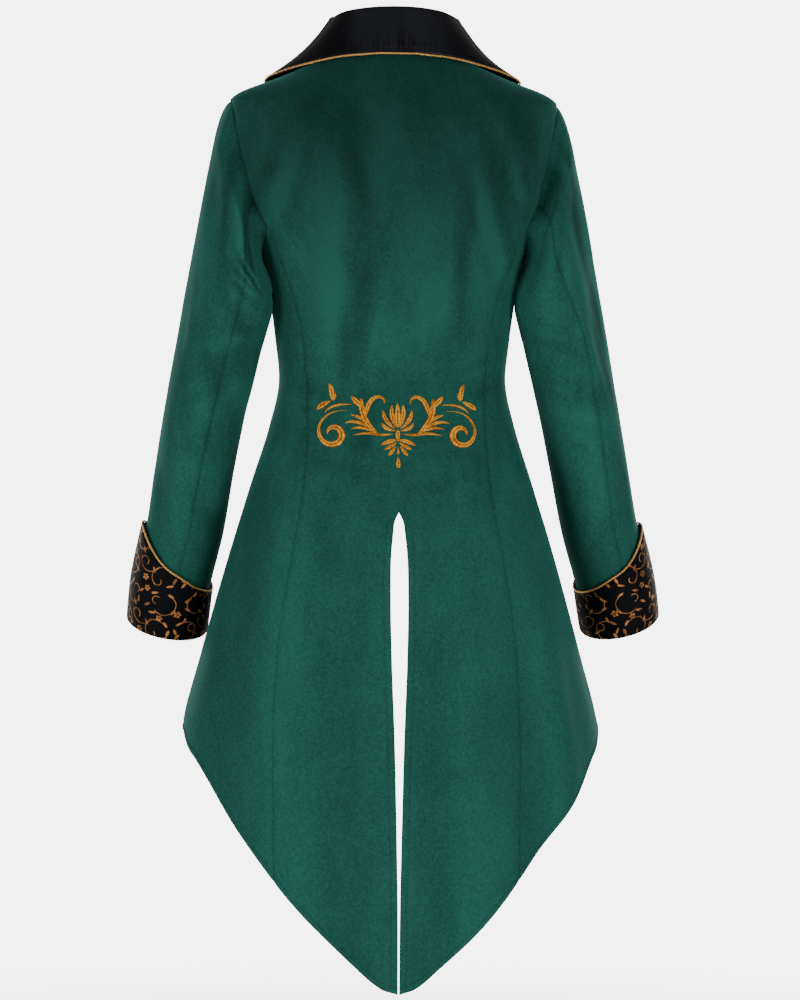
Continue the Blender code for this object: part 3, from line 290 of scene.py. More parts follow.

# Bands of painted light and shade on the sleeves, as the body's.
SLEEVE_SHADING_BANDS = (
    rows_of(SleeveFold, (
        (34, 0.010, 26, 0.220, 0.0065, 1.7, 0.4), (46, 0.020, 36, 0.300, 0.0065, -1.8, 0.3),
        (56, 0.000, 60, 0.110, 0.0090, 1.3, 0.3), (68, 0.010, 50, 0.140, 0.0060, -1.2, 0.3),
        (22, 0.180, 19, 0.360, 0.0060, 1.3, 0.4), (31, 0.200, 31, 0.370, 0.0060, -1.5, 0.4),
        (80, 0.300, 84, 0.520, 0.0180, 0.6, 0.2),
    ), -1)
    + rows_of(SleeveFold, (
        (84, 0.000, 100, 0.130, 0.0075, 1.5, 0.4), (104, 0.020, 116, 0.130, 0.0060, -1.8, 0.4),
        (60, 0.020, 74, 0.160, 0.0060, -1.0, 0.3), (40, 0.050, 52, 0.240, 0.0100, 0.9, 0.2),
        (95, 0.125, 130, 0.150, 0.0060, -1.5, 0.5), (92, 0.162, 124, 0.180, 0.0060, 1.2, 0.5),
        (96, 0.200, 128, 0.270, 0.0120, -1.0, 0.2), (84, 0.290, 110, 0.330, 0.0100, -0.8, 0.2),
    ), 1)
)

# The cuff's height above its turned edge, by angle round the sleeve.
CuffEdge = namedtuple("CuffEdge", "angle height")
CUFF_EDGE = rows_of(CuffEdge, (
    (0, 0.112), (20, 0.109), (40, 0.099), (57, 0.089), (76, 0.080), (92, 0.075), (125, 0.063),
    (150, 0.057), (180, 0.054),
))
CUFF_PROUD, CUFF_CLOSE = 0.0059, 0.0038  # out from the sleeve, at the outside of the arm and inside it
CUFF_DROP = {1: 0.0070, -1: 0.0}  # how much lower the outside of each cuff hangs
CUFF_BEYOND = 0.0050  # past the sleeve's end
CUFF_FACE = 0.0060  # from the turned edge to the first row of the face
CUFF_SWELL = 0.0008
# Sections of the turned edge: distances back from the end, and out as shares of the cuff's own.
CuffTurn = namedtuple("CuffTurn", "outer_back outer_out inner_back inner_out")
CUFF_TURNS = rows_of(CuffTurn, (
    (0.0012, -0.12, 0.0032, -0.12), (0.0006, 0.35, 0.0027, 0.26), (0.0020, 0.78, 0.0036, 0.42),
))

# The collar's fold, and its outer edge on the back, by angle from centre back.
CollarBack = namedtuple("CollarBack", "angle fold_out fold_z edge_angle edge_height sag")
COLLAR_BACK = rows_of(CollarBack, (
    (0.0, 0.0545, 0.0458, 0.0, -0.0080, 0.0000), (30.0, 0.0575, 0.0452, 30.0, -0.0085, 0.0010),
    (60.0, 0.0660, 0.0428, 62.0, -0.0140, 0.0040), (90.0, 0.0725, 0.0395, 91.0, -0.0385, 0.0080),
))
# The lapel, down the roll line from the shoulder seam to its end at centre front, seen from the front.
Lapel = namedtuple("Lapel", "down stand edge_x edge_z")
LAPELS = rows_of(Lapel, (
    (0.00, 0.0390, 0.1450, -0.0385), (0.06, 0.0320, 0.1495, -0.0480), (0.14, 0.0200, 0.1530, -0.0680),
    (0.25, 0.0100, 0.1505, -0.1060), (0.45, 0.0050, 0.1330, -0.166), (0.65, 0.0040, 0.1050, -0.218),
    (0.85, 0.0036, 0.0560, -0.262), (1.00, 0.0030, 0.0140, -0.286),
))
ROLL_ACROSS, ROLL_END_ACROSS = 0.0705, 0.0090  # the roll line from the centre, at the neck and the break
FOLD_RADIUS = 0.0034  # of the collar's fold
COLLAR_LIFT = 0.0052  # of the collar's outer face off the body
FALL_ROWS = 5  # from the fold to the outer edge
STAND_SHARE = 0.22  # share of the roll line over which the standing collar turns into the lapel
SIDE_SAG = 0.0080  # of the collar's fall at the shoulder
STAND_UP, STAND_OUT = (-0.25, 0.10, 1.0), (1.0, -0.15, 0.0)  # the standing collar's ways at the shoulder
STAND_LEAN = 0.0012
NECK_COLUMNS = 8
NEAR_NECK = -0.31  # the body is looked at down to here for what the collar has to clear

# What an edge does to the cloth near it: push, how far in, reach, and how sharply it ends. A seam sinks;
# a hem rolls over, swells and dips under its stitches.
Dip = namedtuple("Dip", "push at reach power")
HEM_STITCH = 0.0080  # the stitch line's distance in from a hem
EDGES = {
    "seam": rows_of(Dip, ((-0.0011, 0.0, 0.0026, 1.3),)),
    "hem": rows_of(Dip, (
        (-0.0006, 0.0, 0.0007, 1), (0.00035, 0.0035, 0.0028, 2), (-0.00045, HEM_STITCH, 0.0011, 2)
    )),
}
LIP_AT, LIP_SPREAD, FOLD_FADE = 1.9, 0.8, 0.7  # where a fold's lips stand, in its widths; how its ends fade

# Steps in from a worked edge, close together so that its roll and stitching show; cloth between is wider.
EDGE_STEPS = (0.0, 0.0003, 0.0010, 0.0020, 0.0034, 0.0050, 0.0064, 0.0074, 0.0084, 0.0096, 0.0120, 0.0155)
SEAM_STEPS = (0.0, 0.0004, 0.0012, 0.0024, 0.0042, 0.0070)
SLIT_STEPS = (0.0, 0.0008, 0.0020, 0.0036, 0.0056, 0.0080)
STEP = 0.0046  # between rows and columns of the open cloth
SLIT_REST, POINT_REST = 0.004, 0.010  # where the stitches end, below the slit's top and above the point
SLIM = 0.012  # strips narrower than this are laid out as if this wide
# Widths, and the sleeve head's length, that give the numbers of columns and rows.
BACK_WIDTH, SIDE_WIDTH, SLEEVE_WIDTH, CAP_LENGTH = 0.115, 0.085, 0.16, 0.065
CUFF_COLUMNS, CUFF_ROWS = 96, 5
PUCKER_IN = 0.0078  # the collar's stitch row, in from its edge
PUCKER_PITCH, PUCKER_DEPTH, PUCKER_REACH = 0.0062, 0.00085, 0.055
PUCKER_FADE = (0.0105, 0.0040)  # how far the puckers run in from their stitches, and out
PAINTED_LIGHT_AND_SHADE = "painted_light_and_shade"  # the cloth's attribute of painted light and shade: on folds, seams, hems and bands, and on the collar's puckers
FOLD_EASE = 0.0030  # a fold this deep gets half of the most painted shade in a trough, or painted light on a ridge
SEAM_SHADE = 0.0018  # sink of a seam that gets the full painted shade
TOP_SHADE_HEIGHTS = (-0.42, -0.07)  # between these heights, going up, painted shade darkens the velvet towards the top of the back
CALM_SKIRT = (-0.60, -0.43)  # between these heights, downwards, the cloth's marks grow calmer
# The painted shade at the top of the back ends towards the sleeves, between these distances from the
# centre, and sooner under the arms, between the next two and below these heights.
TOP_SHADE_NARROWS, TOP_SHADE_BESIDE, TOP_SHADE_UNDER_ARM = (0.150, 0.190), (0.095, 0.130), (-0.24, -0.14)
LEAN_MIDDLE = 0.31  # of the noise by which the pile leans
# Lengths of the repeats in the cloth's back, the brocade's weave, the cord and the embroidery.
TWILL_PITCH, WEAVE_PITCHES = 0.0011, (0.0005, 0.0007)
TWIST_PITCH, FIBRE_PITCH, THREAD_PITCH = 0.0021, 0.00045, 0.00062
CAMERA_DISTANCE, CAMERA_AZIMUTH, CAMERA_ROLL, CAMERA_LENS = 3.2, 176.0, 0.005, 98.46
CAMERA_AIM = (-0.00995, 0.0, -0.517)
LIGHT_AIM, LIGHT_COLOUR = (0, 0, -0.60), (1.0, 0.99, 0.975)
FLOOR_HEIGHT, FLOOR_RADIUS = -1.50, 3.0

# Soft lights: place, size and share of the main power.
Light = namedtuple("Light", "name place size share")
LIGHTS = rows_of(Light, (
    ("behind_right", (-1.7, 2.4, -0.75), 1.3, 0.93),
    ("behind_left", (2.3, 1.9, -0.65), 1.3, 0.92),
    ("before_right", (-1.9, -2.2, -0.2), 1.6, 0.6),
    ("before_left", (1.9, -2.3, -0.2), 1.6, 0.6),
))


def curve_through(rows, at):
    """Values of a table's other columns at positions of its first, on a smooth curve through its rows."""
    table = np.array(rows, float)
    table = table[np.argsort(table[:, 0])]
    x, y = table[:, 0], table[:, 1:]
    slope = np.gradient(y, x, axis=0)
    at = np.clip(np.asarray(at, float), x[0], x[-1])
    left = np.clip(np.searchsorted(x, at, side="right") - 1, 0, len(x) - 2)
    span = x[left + 1] - x[left]
    ends = y[left], y[left + 1], slope[left], slope[left + 1]
    found = hermite(((at - x[left]) / span)[..., None], span[..., None], *ends)
    return found[..., 0] if found.shape[-1] == 1 else found


def hermite(t, span, first, last, first_slope, last_slope):
    """A smooth curve's point at t, 0 to 1, between two points with these slopes."""
    start, end = 2 * t**3 - 3 * t**2 + 1, 3 * t**2 - 2 * t**3
    lead, trail = t**3 - 2 * t**2 + t, t**3 - t**2
    return start * first + end * last + span * (lead * first_slope + trail * last_slope)


def refined(grid, times):
    """A grid with this many times more rows and columns, on smooth curves through the given ones."""
    for axis in (0, 1):
        turned = np.moveaxis(grid, axis, 0)
        last = len(turned) - 1
        at = np.linspace(0, last, last * times[axis] + 1)
        left = np.minimum(at.astype(int), last - 1)
        t = (at - left).reshape((-1,) + (1,) * (turned.ndim - 1))
        slope = np.gradient(turned, axis=0)
        turned = hermite(t, 1.0, turned[left], turned[left + 1], slope[left], slope[left + 1])
        grid = np.moveaxis(turned, 0, axis)
    return grid


def unit(vector):
    return vector / np.maximum(np.linalg.norm(vector, axis=-1, keepdims=True), 1e-12)


def smooth_body(angle, height):
    """The body before its folds: rings from the table, each a rounded section seen from above."""
    angle, height = np.broadcast_arrays(np.asarray(angle, float), np.asarray(height, float))
    half, back, front, z_back, z_side, z_front, square = np.moveaxis(curve_through(RINGS, height), -1, 0)
    turn = np.radians(angle)
    across, away = np.sin(turn), np.cos(turn)
    behind = away >= 0
    depth = np.where(behind, back, front)
    reach = (np.abs(across / half) ** square + np.abs(away / depth) ** square) ** (-1 / square)
    level = z_side + (np.where(behind, z_back, z_front) - z_side) * away**2
    return np.stack([reach * across, reach * away, level], axis=-1)


def line_push(seen, start, line, bow, fold):
    """Push of one fold: deepest on its line, fading at the ends, with the cloth raised a little beside it."""
    part = np.clip((seen - start) @ line / (line @ line), 0, 1)
    side = np.array([-line[1], line[0]]) / np.linalg.norm(line)
    centre = start + part[..., None] * line + side * (bow * 4 * part * (1 - part))[..., None]
    q = np.abs(np.linalg.norm(seen - centre, axis=-1)) / fold.width
    push = fold.depth * (np.exp(-(q**2)) - fold.lips * np.exp(-((q - LIP_AT) ** 2) / LIP_SPREAD))
    return push * np.sin(np.pi * np.clip(part, 0.03, 0.97)) ** FOLD_FADE


def body_push(point, angle, folds=BODY_FOLDS):
    """How far the folds push the body's face out."""
    facing = np.cos(np.radians(np.broadcast_to(angle, point.shape[:-1])))
    seen = point[..., [0, 2]]
    push = np.zeros(seen.shape[:-1])
    for fold in folds:
        start, line = np.array([fold.x0, fold.z0]), np.array([fold.x1 - fold.x0, fold.z1 - fold.z0])
        weight = np.clip(facing * (6 if fold.face == "back" else -6), 0, 1)
        push += line_push(seen, start, line, fold.bow, fold) * weight
    return push


def normal_of(surface, angle, height):
    """A surface's outward normal, from its points a little to each side, above and below."""
    turn, rise = 0.4, 0.0016  # degrees and metres
    along = surface(np.asarray(angle) + turn, height) - surface(np.asarray(angle) - turn, height)
    up = surface(angle, np.asarray(height) + rise) - surface(angle, np.asarray(height) - rise)
    return unit(np.cross(up, along))


def body_face(angle, height):
    """The body's outer face with its folds."""
    point = smooth_body(angle, height)
    return point + normal_of(smooth_body, angle, height) * body_push(point, angle)[..., None]


def body_normal(angle, height):
    return normal_of(body_face, angle, height)


def body(angle, height, out=0.0):
    """A point of the body's outer face, moved out along its normal."""
    return body_face(angle, height) + body_normal(angle, height) * np.asarray(out)[..., None]


HALVINGS = 26  # of a quarter turn, in the search for an angle


def angle_across(across, height, front=False):
    """The angle on one side of the body at which a ring is this far from the centre line."""
    across, height = np.broadcast_arrays(np.asarray(across, float), np.asarray(height, float))
    low, high = np.zeros(across.shape), np.full(across.shape, 90.0)
    for _ in range(HALVINGS):
        middle = (low + high) / 2
        angle = 180 - middle if front else middle
        short = smooth_body(angle, height)[..., 0] < across
        low, high = np.where(short, middle, low), np.where(short, high, middle)
    return 180 - low if front else low


def place_of(across, level, front=False, steps=14):
    """Angle and height of the body's point seen at this distance from the centre and this level."""
    height = np.asarray(level, float)
    for _ in range(steps):
        angle = angle_across(across, height, front)
        # A short step towards the level, which stays under the neck seam.
        height = np.minimum(height + 0.8 * (level - smooth_body(angle, height)[..., 2]), -0.002)
    return angle_across(across, height, front), height


def seam_turn(angle, height, gap=SHOWN_SEAM / 2):
    """Half a seam's gap as an angle at this place."""
    point = smooth_body(angle, height)
    return np.degrees(gap / np.hypot(point[..., 0], point[..., 1]))


def back_edge(height):
    """Angle of the back's outer edge: its curved seam, then the armhole, then the shoulder seam."""
    height = np.asarray(height, float)
    seam = angle_across(curve_through(BACK_SEAM, height), np.minimum(height, ARM_JOIN))
    seam = seam - seam_turn(seam, height)
    arm = angle_across(curve_through(ARMHOLE_BACK, height), height)
    shoulder = 90 - seam_turn(90.0, height)
    edge = np.where(height < ARM_JOIN + 1e-9, seam, arm)
    return np.where(height > SHOULDER - 1e-9, shoulder, edge)


def front_arm_edge(height):
    """Angle of the front's outer edge: side seam, then armhole, then shoulder seam."""
    height = np.asarray(height, float)
    side = curve_through(SIDE_SEAM, height)
    side = side + seam_turn(side, height)
    arm = curve_through(ARMHOLE_FRONT, height)
    shoulder = 90 + seam_turn(90.0, height)
    edge = np.where(height < UNDERARM + 1e-9, side, arm)
    return np.where(height > SHOULDER - 1e-9, shoulder, edge)


def front_inner_edge(height):
    """Angle of the front's free edge: cutaway, centre front, then the roll line up to the neck."""
    height = np.asarray(height, float)
    cut = curve_through(CUTAWAY, height)
    centre = 180 - seam_turn(180.0, height, SEAM)
    across = np.interp(height, [MEET, BREAK, 0.0], [0.0, ROLL_END_ACROSS, ROLL_ACROSS])
    roll = angle_across(across, height, front=True)
    edge = np.minimum(cut, centre)
    return np.where(height > MEET + 1e-9, np.minimum(roll, centre), edge)


def hem_height(edge_angle, count, search, halvings=40):
    """Height at which each of these columns, an angle by height, meets the hem."""
    low, high = (np.full(count, end) for end in search)
    for _ in range(halvings):
        middle = (low + high) / 2
        point = smooth_body(edge_angle(middle), middle)
        under = point[..., 2] < curve_through(HEM, np.abs(point[..., 0]))
        low, high = np.where(under, middle, low), np.where(under, high, middle)
    return (low + high) / 2


def parts_across(width, first, last, step=STEP):
    """Shares across strips of these widths: closer together at a worked edge than in the open cloth."""
    width = np.maximum(np.asarray(width, float).reshape(-1, 1), SLIM)
    room = (first[-1] + last[-1]) * 1.6  # a strip narrower than this has its edges' steps squeezed
    squeeze = np.minimum(width / room, 1.0)
    count = max(int(round((width.max() - first[-1] - last[-1]) / step)), 2)
    start, end = np.array(first) * squeeze / width, 1 - np.array(last[::-1]) * squeeze / width
    inner = np.linspace(0, 1, count + 1)[1:-1]
    return np.concatenate([start, start[:, -1:] + (end[:, :1] - start[:, -1:]) * inner, end], axis=1)


def steps_between(stops, step=STEP):
    """Positions that run through these stops, evenly between them and no further apart than a step."""
    found = [stops[0]]
    for low, high in zip(stops, stops[1:]):
        count = max(int(math.ceil(abs(high - low) / step)), 1)
        found += list(np.linspace(low, high, count + 1)[1:])
    return np.array(found)


# the last field holds painted light and shade for the materials
Sheet = namedtuple("Sheet", "outer inner uv lie")


def run_lengths(points, axis):
    """Distance along a grid's rows or columns from its first point."""
    step = np.linalg.norm(np.diff(points, axis=axis), axis=-1)
    start = np.zeros_like(np.take(step, [0], axis=axis))
    return np.concatenate([start, np.cumsum(step, axis=axis)], axis=axis)


def edge_push(distance, kind):
    """How far cloth is moved at this distance in from a seam or hem."""
    return sum(dip.push * np.exp(-(((distance - dip.at) / dip.reach) ** dip.power)) for dip in EDGES[kind])


def painted_light_and_shade(push, edge=0.0):
    """Painted light and shade on folds: below zero, painted shade in troughs, seams and the dips of hems;
    above, painted light on ridges and the rolls of hems.
    """
    return push / (FOLD_EASE + np.abs(push)) + edge / SEAM_SHADE


def worked(points, normals, edges, folds):
    """A sheet with its edges worked as seams or hems, and painted light and shade from its folds and edges;
    edges hold a border, its kind and its strength.
    """
    across, down = run_lengths(points, 1), run_lengths(points, 0)
    far = {"left": across, "right": across[:, -1:] - across, "bottom": down, "top": down[-1:] - down}
    push = sum(edge_push(far[border], kind) * strength for border, kind, strength in edges)
    outer = points + normals * push[..., None]
    uv = np.stack([across, down], axis=-1)
    return Sheet(outer, outer - normals * SHELL, uv, painted_light_and_shade(folds, push))


def body_sheet(angle, height, side, edges):
    """A piece of the body's cloth, from its angles and heights as a left one."""
    angle = angle * side
    points = body(angle, height, np.zeros(angle.shape))
    sheet = worked(points, body_normal(angle, height), edges, body_push(points, angle))
    # adds the bands of painted light and shade
    return sheet._replace(lie=sheet.lie + body_push(points, angle, PAINTED_SHADING_BANDS))


def below(height, level, fade=0.010):
    """1 under a level, 0 above it, with a short change between."""
    return np.clip((level - height) / fade, 0, 1)


def back_sheets():
    """The back's two halves, joined down the middle as far as the slit."""
    part = parts_across([BACK_WIDTH], EDGE_STEPS, SEAM_STEPS)[0]

    def column_angle(height):
        vent = angle_across(curve_through(VENT_EDGE, height), height)
        vent = np.where(height > VENT_TOP - 1e-9, 0.0, vent)
        return vent + (back_edge(height) - vent) * part

    hem = hem_height(column_angle, len(part), HEM_SEARCH)
    low = hem + (VENT_TOP - hem) * parts_across(VENT_TOP - hem, EDGE_STEPS, SLIT_STEPS).T
    upper = steps_between((VENT_TOP,) + CHEST_ROWS + ARM_ROWS + SHOULDER_ROWS + (0.0,))[1:]
    height = np.concatenate([low, np.repeat(upper[:, None], len(part), 1)])
    angle = np.array([column_angle(row) for row in height])
    edges = (("left", "hem", below(height, VENT_TOP)), ("right", "seam", 1), ("bottom", "hem", 1))
    return [body_sheet(angle, height, side, edges) for side in (1, -1)]


def side_sheets(side):
    """One side back, from the curved seam to the side seam, from the armhole to the tail's corner."""
    part = parts_across([SIDE_WIDTH], SEAM_STEPS, EDGE_STEPS)[0]

    def outer_edge(height):
        seam = curve_through(SIDE_SEAM, height)
        return np.minimum(seam - seam_turn(seam, height), curve_through(CUTAWAY, height))

    def column_angle(height):
        seam = angle_across(curve_through(BACK_SEAM, height), height)
        seam = seam + seam_turn(seam, height)
        return seam + (outer_edge(height) - seam) * part

    hem = hem_height(column_angle, len(part), SIDE_HEM_SEARCH)
    low = hem + (VENT_TOP - hem) * parts_across(VENT_TOP - hem, EDGE_STEPS, (0.0,)).T
    middle = np.repeat(steps_between((VENT_TOP, BREAK))[1:, None], len(part), 1)
    arm = UNDERARM + (ARM_JOIN - UNDERARM) * (1 - part) ** ARM_CURVE
    top = BREAK + (arm - BREAK) * parts_across([ARM_JOIN - BREAK], (0.0,), SEAM_STEPS).T[1:]
    height = np.concatenate([low, middle, top])
    angle = np.array([column_angle(row) for row in height])
    free = below(height, FRONT_POINT, 0.006)
    edges = [("left", "seam", 1), ("right", "seam", 1 - free), ("right", "hem", free)]
    return [body_sheet(angle, height, side, edges + [("bottom", "hem", 1), ("top", "seam", 1)])]


def front_sheets(side):
    """One front, from the shoulder down to its cutaway edge."""
    stops = (FRONT_POINT, VENT_TOP, MEET, BREAK) + CHEST_ROWS + ARM_ROWS + SHOULDER_ROWS + (FRONT_TOP,)
    rows = steps_between(stops)
    start, end = front_arm_edge(rows)[:, None], front_inner_edge(rows)[:, None]
    width = np.linalg.norm(smooth_body(start, rows[:, None]) - smooth_body(end, rows[:, None]), axis=-1)
    part = parts_across(width, SEAM_STEPS, EDGE_STEPS)
    side_angle = curve_through(SIDE_SEAM, np.minimum(rows, UNDERARM))[:, None]
    shift = np.where(rows[:, None] > UNDERARM, start - side_angle, 0)
    angle = start - shift + (end - start + shift) * part + shift * (1 - part) ** FRONT_CURVE
    height = np.repeat(rows[:, None], part.shape[1], 1)
    edges = (("left", "seam", 1), ("right", "hem", below(height, MEET)))
    return [body_sheet(angle, height, side, edges)]


def armhole_ring():
    """Points and normals of the left armhole: shoulder, back, underarm, front."""
    places = [(float(angle_across(curve_through(ARMHOLE_BACK, h), h)), h) for h in reversed(ARM_ROWS)]
    part = np.linspace(0, 1, SIDE_COLUMNS + 1)
    heights = UNDERARM + (ARM_JOIN - UNDERARM) * (1 - part) ** ARM_CURVE
    seam = angle_across(curve_through(BACK_SEAM, heights), heights)
    edge = curve_through(SIDE_SEAM, heights)
    places += [(s + (e - s) * p, h) for s, e, p, h in zip(seam, edge, part, heights)]
    places += [(float(curve_through(ARMHOLE_FRONT, h)), h) for h in CHEST_ROWS[1:] + ARM_ROWS[:-1]]
    angle, height = np.array(places).T
    return body(angle, height, np.zeros(angle.shape)), body_normal(angle, height)


def round_ring(values, places):
    """Values of a closed ring at fractional places, on a smooth curve through its points."""
    count = len(values)
    slope = (np.roll(values, -1, axis=0) - np.roll(values, 1, axis=0)) / 2
    left = np.floor(places).astype(int)
    t = (places - left)[:, None]
    a, b = left % count, (left + 1) % count
    return hermite(t, 1.0, values[a], values[b], slope[a], slope[b])


def sleeve_turns(ring, seam_angle, places):
    """Angle round the sleeve at places of the armhole, with the seams and the underarm held in place."""
    count, under = len(ring), len(ARM_ROWS) + SIDE_COLUMNS
    stops = {0: 0.0, BACK_SEAM_AT: seam_angle, under: 180.0, FRONT_SEAM_AT: FRONT_SEAM, count: 360.0}
    step = np.linalg.norm(np.roll(ring, -1, 0) - ring, axis=1)
    length = np.concatenate([[0], np.cumsum(step)])
    knots = sorted(stops)
    coarse = np.interp(length, length[knots], [stops[k] for k in knots])
    return np.interp(places % count, np.arange(count + 1), coarse) + 360 * np.floor(places / count)


def sleeve_section(turn, along, side):
    """Points of a sleeve before its folds, as a left one, at angles round it and a distance down it."""
    columns = np.moveaxis(curve_through(SLEEVE_RINGS, along), -1, 0)
    outer_x, outer_z, inner_x, inner_z, inner_y, middle_y, half_depth, back_drop = columns[:8]
    turn = np.radians(turn)
    x = (outer_x + inner_x) / 2 + np.cos(turn) * (outer_x - inner_x) / 2 + side * SWAY * middle_y
    y = middle_y + np.sin(turn) * half_depth + inner_y * (1 - np.cos(turn)) / 2
    z = (outer_z + inner_z) / 2 + np.cos(turn) * (outer_z - inner_z) / 2 - np.sin(turn) * back_drop
    return np.stack(np.broadcast_arrays(x, y, z), axis=-1)


def sleeve_push(turn, along, side, folds=SLEEVE_FOLDS):
    """How far the folds of one sleeve push its face out."""
    around = (turn + 180) % 360 - 180
    push = np.zeros(around.shape)
    for fold in folds:
        if fold.side != side:
            continue
        start = np.array([math.radians(fold.angle0) * SLEEVE_RADIUS, fold.along0])
        line = np.array([math.radians(fold.angle1) * SLEEVE_RADIUS, fold.along1]) - start
        for wrap in (-360, 0, 360):
            place = np.stack([np.radians(around + wrap) * SLEEVE_RADIUS, along], axis=-1)
            push += line_push(place, start, line, 0.0, fold)
    return push


def grid_normals(points, middle):
    """Normals of a grid, pointing away from a middle line."""
    found = unit(np.cross(np.gradient(points, axis=0), np.gradient(points, axis=1)))
    return found * np.sign(((points - middle) * found).sum(axis=-1).mean())


def sleeve_sheet(side, first, last):
    """One cut piece of a sleeve, as a left one: rows down from the armhole, columns between its seams."""
    ring, ring_normal = armhole_ring()
    places = first + (last - first) * parts_across([SLEEVE_WIDTH], SEAM_STEPS, SEAM_STEPS)[0]
    edge, normal = round_ring(ring, places), unit(round_ring(ring_normal, places))
    into = ring.mean(axis=0) - edge
    into = unit(into - normal * (into * normal).sum(axis=1, keepdims=True))
    start = edge + into * SEAM * 1.5
    top = SLEEVE_RINGS[0]
    turns = sleeve_turns(ring, top.left_seam if side > 0 else top.right_seam, places)
    low = ((1 - np.cos(np.radians(turns))) / 2)[:, None]
    pull, outwards, follow = (a + (b - a) * low for a, b in (CAP_PULL, CAP_LEAN, CAP_ARRIVE))
    leave = unit(into + unit(np.array(CAP_OUT)) * outwards) * pull
    target = sleeve_section(turns, top.along, side)
    arrive = (sleeve_section(turns, top.along + 0.01, side) - target) * follow
    rows, where, strength = [], [], []
    for t in parts_across([CAP_LENGTH], SEAM_STEPS, (0.0,))[0][:-1]:
        rows.append(hermite(t, 1.0, start, target, leave, arrive))
        where.append((turns, np.full(turns.shape, top.along * t)))
        strength.append(t)
    for along in steps_between((top.along, SLEEVE_END)):
        seam = curve_through(SLEEVE_RINGS, along)[8 if side > 0 else 9]
        turns = sleeve_turns(ring, seam, places)
        rows.append(sleeve_section(turns, along, side))
        where.append((turns, np.full(turns.shape, along)))
        strength.append(1.0)
    points = np.array(rows)
    middle = np.array([sleeve_section(np.arange(0, 360, 30), row[1][0], side).mean(axis=0) for row in where])
    normals = grid_normals(points, middle[:, None])
    push = np.array([sleeve_push(turn, down, side) for turn, down in where]) * np.array(strength)[:, None]
    points = points + normals * push[..., None]
    normals = grid_normals(points, middle[:, None])
    points[:, 0] += unit(points[:, 1] - points[:, 0]) * SHOWN_SEAM / 2
    points[:, -1] += unit(points[:, -2] - points[:, -1]) * SHOWN_SEAM / 2
    edges = (("left", "seam", 1), ("right", "seam", 1), ("bottom", "seam", 1))
    sheet = worked(points, normals, edges, push)
    # the sleeve's bands of painted light and shade
    bands = np.array([sleeve_push(turn, down, side, SLEEVE_SHADING_BANDS) for turn, down in where])
    return mirrored(sheet._replace(lie=sheet.lie + bands), side)


def mirrored(sheet, side):
    flip = np.array([side, 1.0, 1.0])
    return Sheet(sheet.outer * flip, sheet.inner * flip, sheet.uv, sheet.lie)


def cuff_sheet(side):
    """A cuff: rows from the edge turned under the sleeve up to its shaped top."""
    turn = np.linspace(0, 360, CUFF_COLUMNS + 1)
    top = curve_through(CUFF_EDGE, np.where(turn > 180, 360 - turn, turn))

    def face(along, out):
        """Points round the sleeve at distances down it, moved out along its slopes' normal."""
        centre = sleeve_section(turn, along, side)
        round_step = sleeve_section(turn + 2, along, side) - sleeve_section(turn - 2, along, side)
        down_step = sleeve_section(turn, along + 0.004, side) - sleeve_section(turn, along - 0.004, side)
        return centre + unit(np.cross(down_step, round_step)) * np.asarray(out)[..., None]

    outwards = (1 + np.cos(np.radians(turn))) / 2
    end = SLEEVE_END + CUFF_BEYOND + CUFF_DROP[side] * outwards
    proud = CUFF_CLOSE + (CUFF_PROUD - CUFF_CLOSE) * outwards
    outer = [face(end - row.outer_back, proud * row.outer_out) for row in CUFF_TURNS]
    inner = [face(end - row.inner_back, proud * row.inner_out) for row in CUFF_TURNS]
    for part in np.linspace(0, 1, CUFF_ROWS + 1):
        along = SLEEVE_END + CUFF_BEYOND + (end - SLEEVE_END - CUFF_BEYOND) * (1 - part)
        along = along - CUFF_FACE - (top - CUFF_FACE) * part
        out = proud + CUFF_SWELL * math.sin(part * math.pi)
        outer.append(face(along, out))
        inner.append(face(along, out - CLOTH))
    outer, inner = (refined(np.array(grid), (4, 1)) for grid in (outer, inner))
    across = run_lengths(outer[:1], 1) + 0 * outer[..., 0]
    uv = np.stack([across, run_lengths(outer, 0)], axis=-1)
    return mirrored(Sheet(outer, inner, uv, 0 * across), side)


def kept_off_body(points, lift):
    """Points moved out, where they must be, until they are this far off the body's outer face."""
    angle, height = np.meshgrid(np.linspace(0, 180, 181), np.linspace(NEAR_NECK, 0.0, 125))
    face, normal = body_face(angle, height).reshape(-1, 3), body_normal(angle, height).reshape(-1, 3)
    flat = points.reshape(-1, 3)
    nearest = np.array([np.argmin(((face - point) ** 2).sum(axis=1)) for point in flat])
    off = ((flat - face[nearest]) * normal[nearest]).sum(axis=1)
    return (flat + normal[nearest] * np.maximum(lift - off, 0)[:, None]).reshape(points.shape)


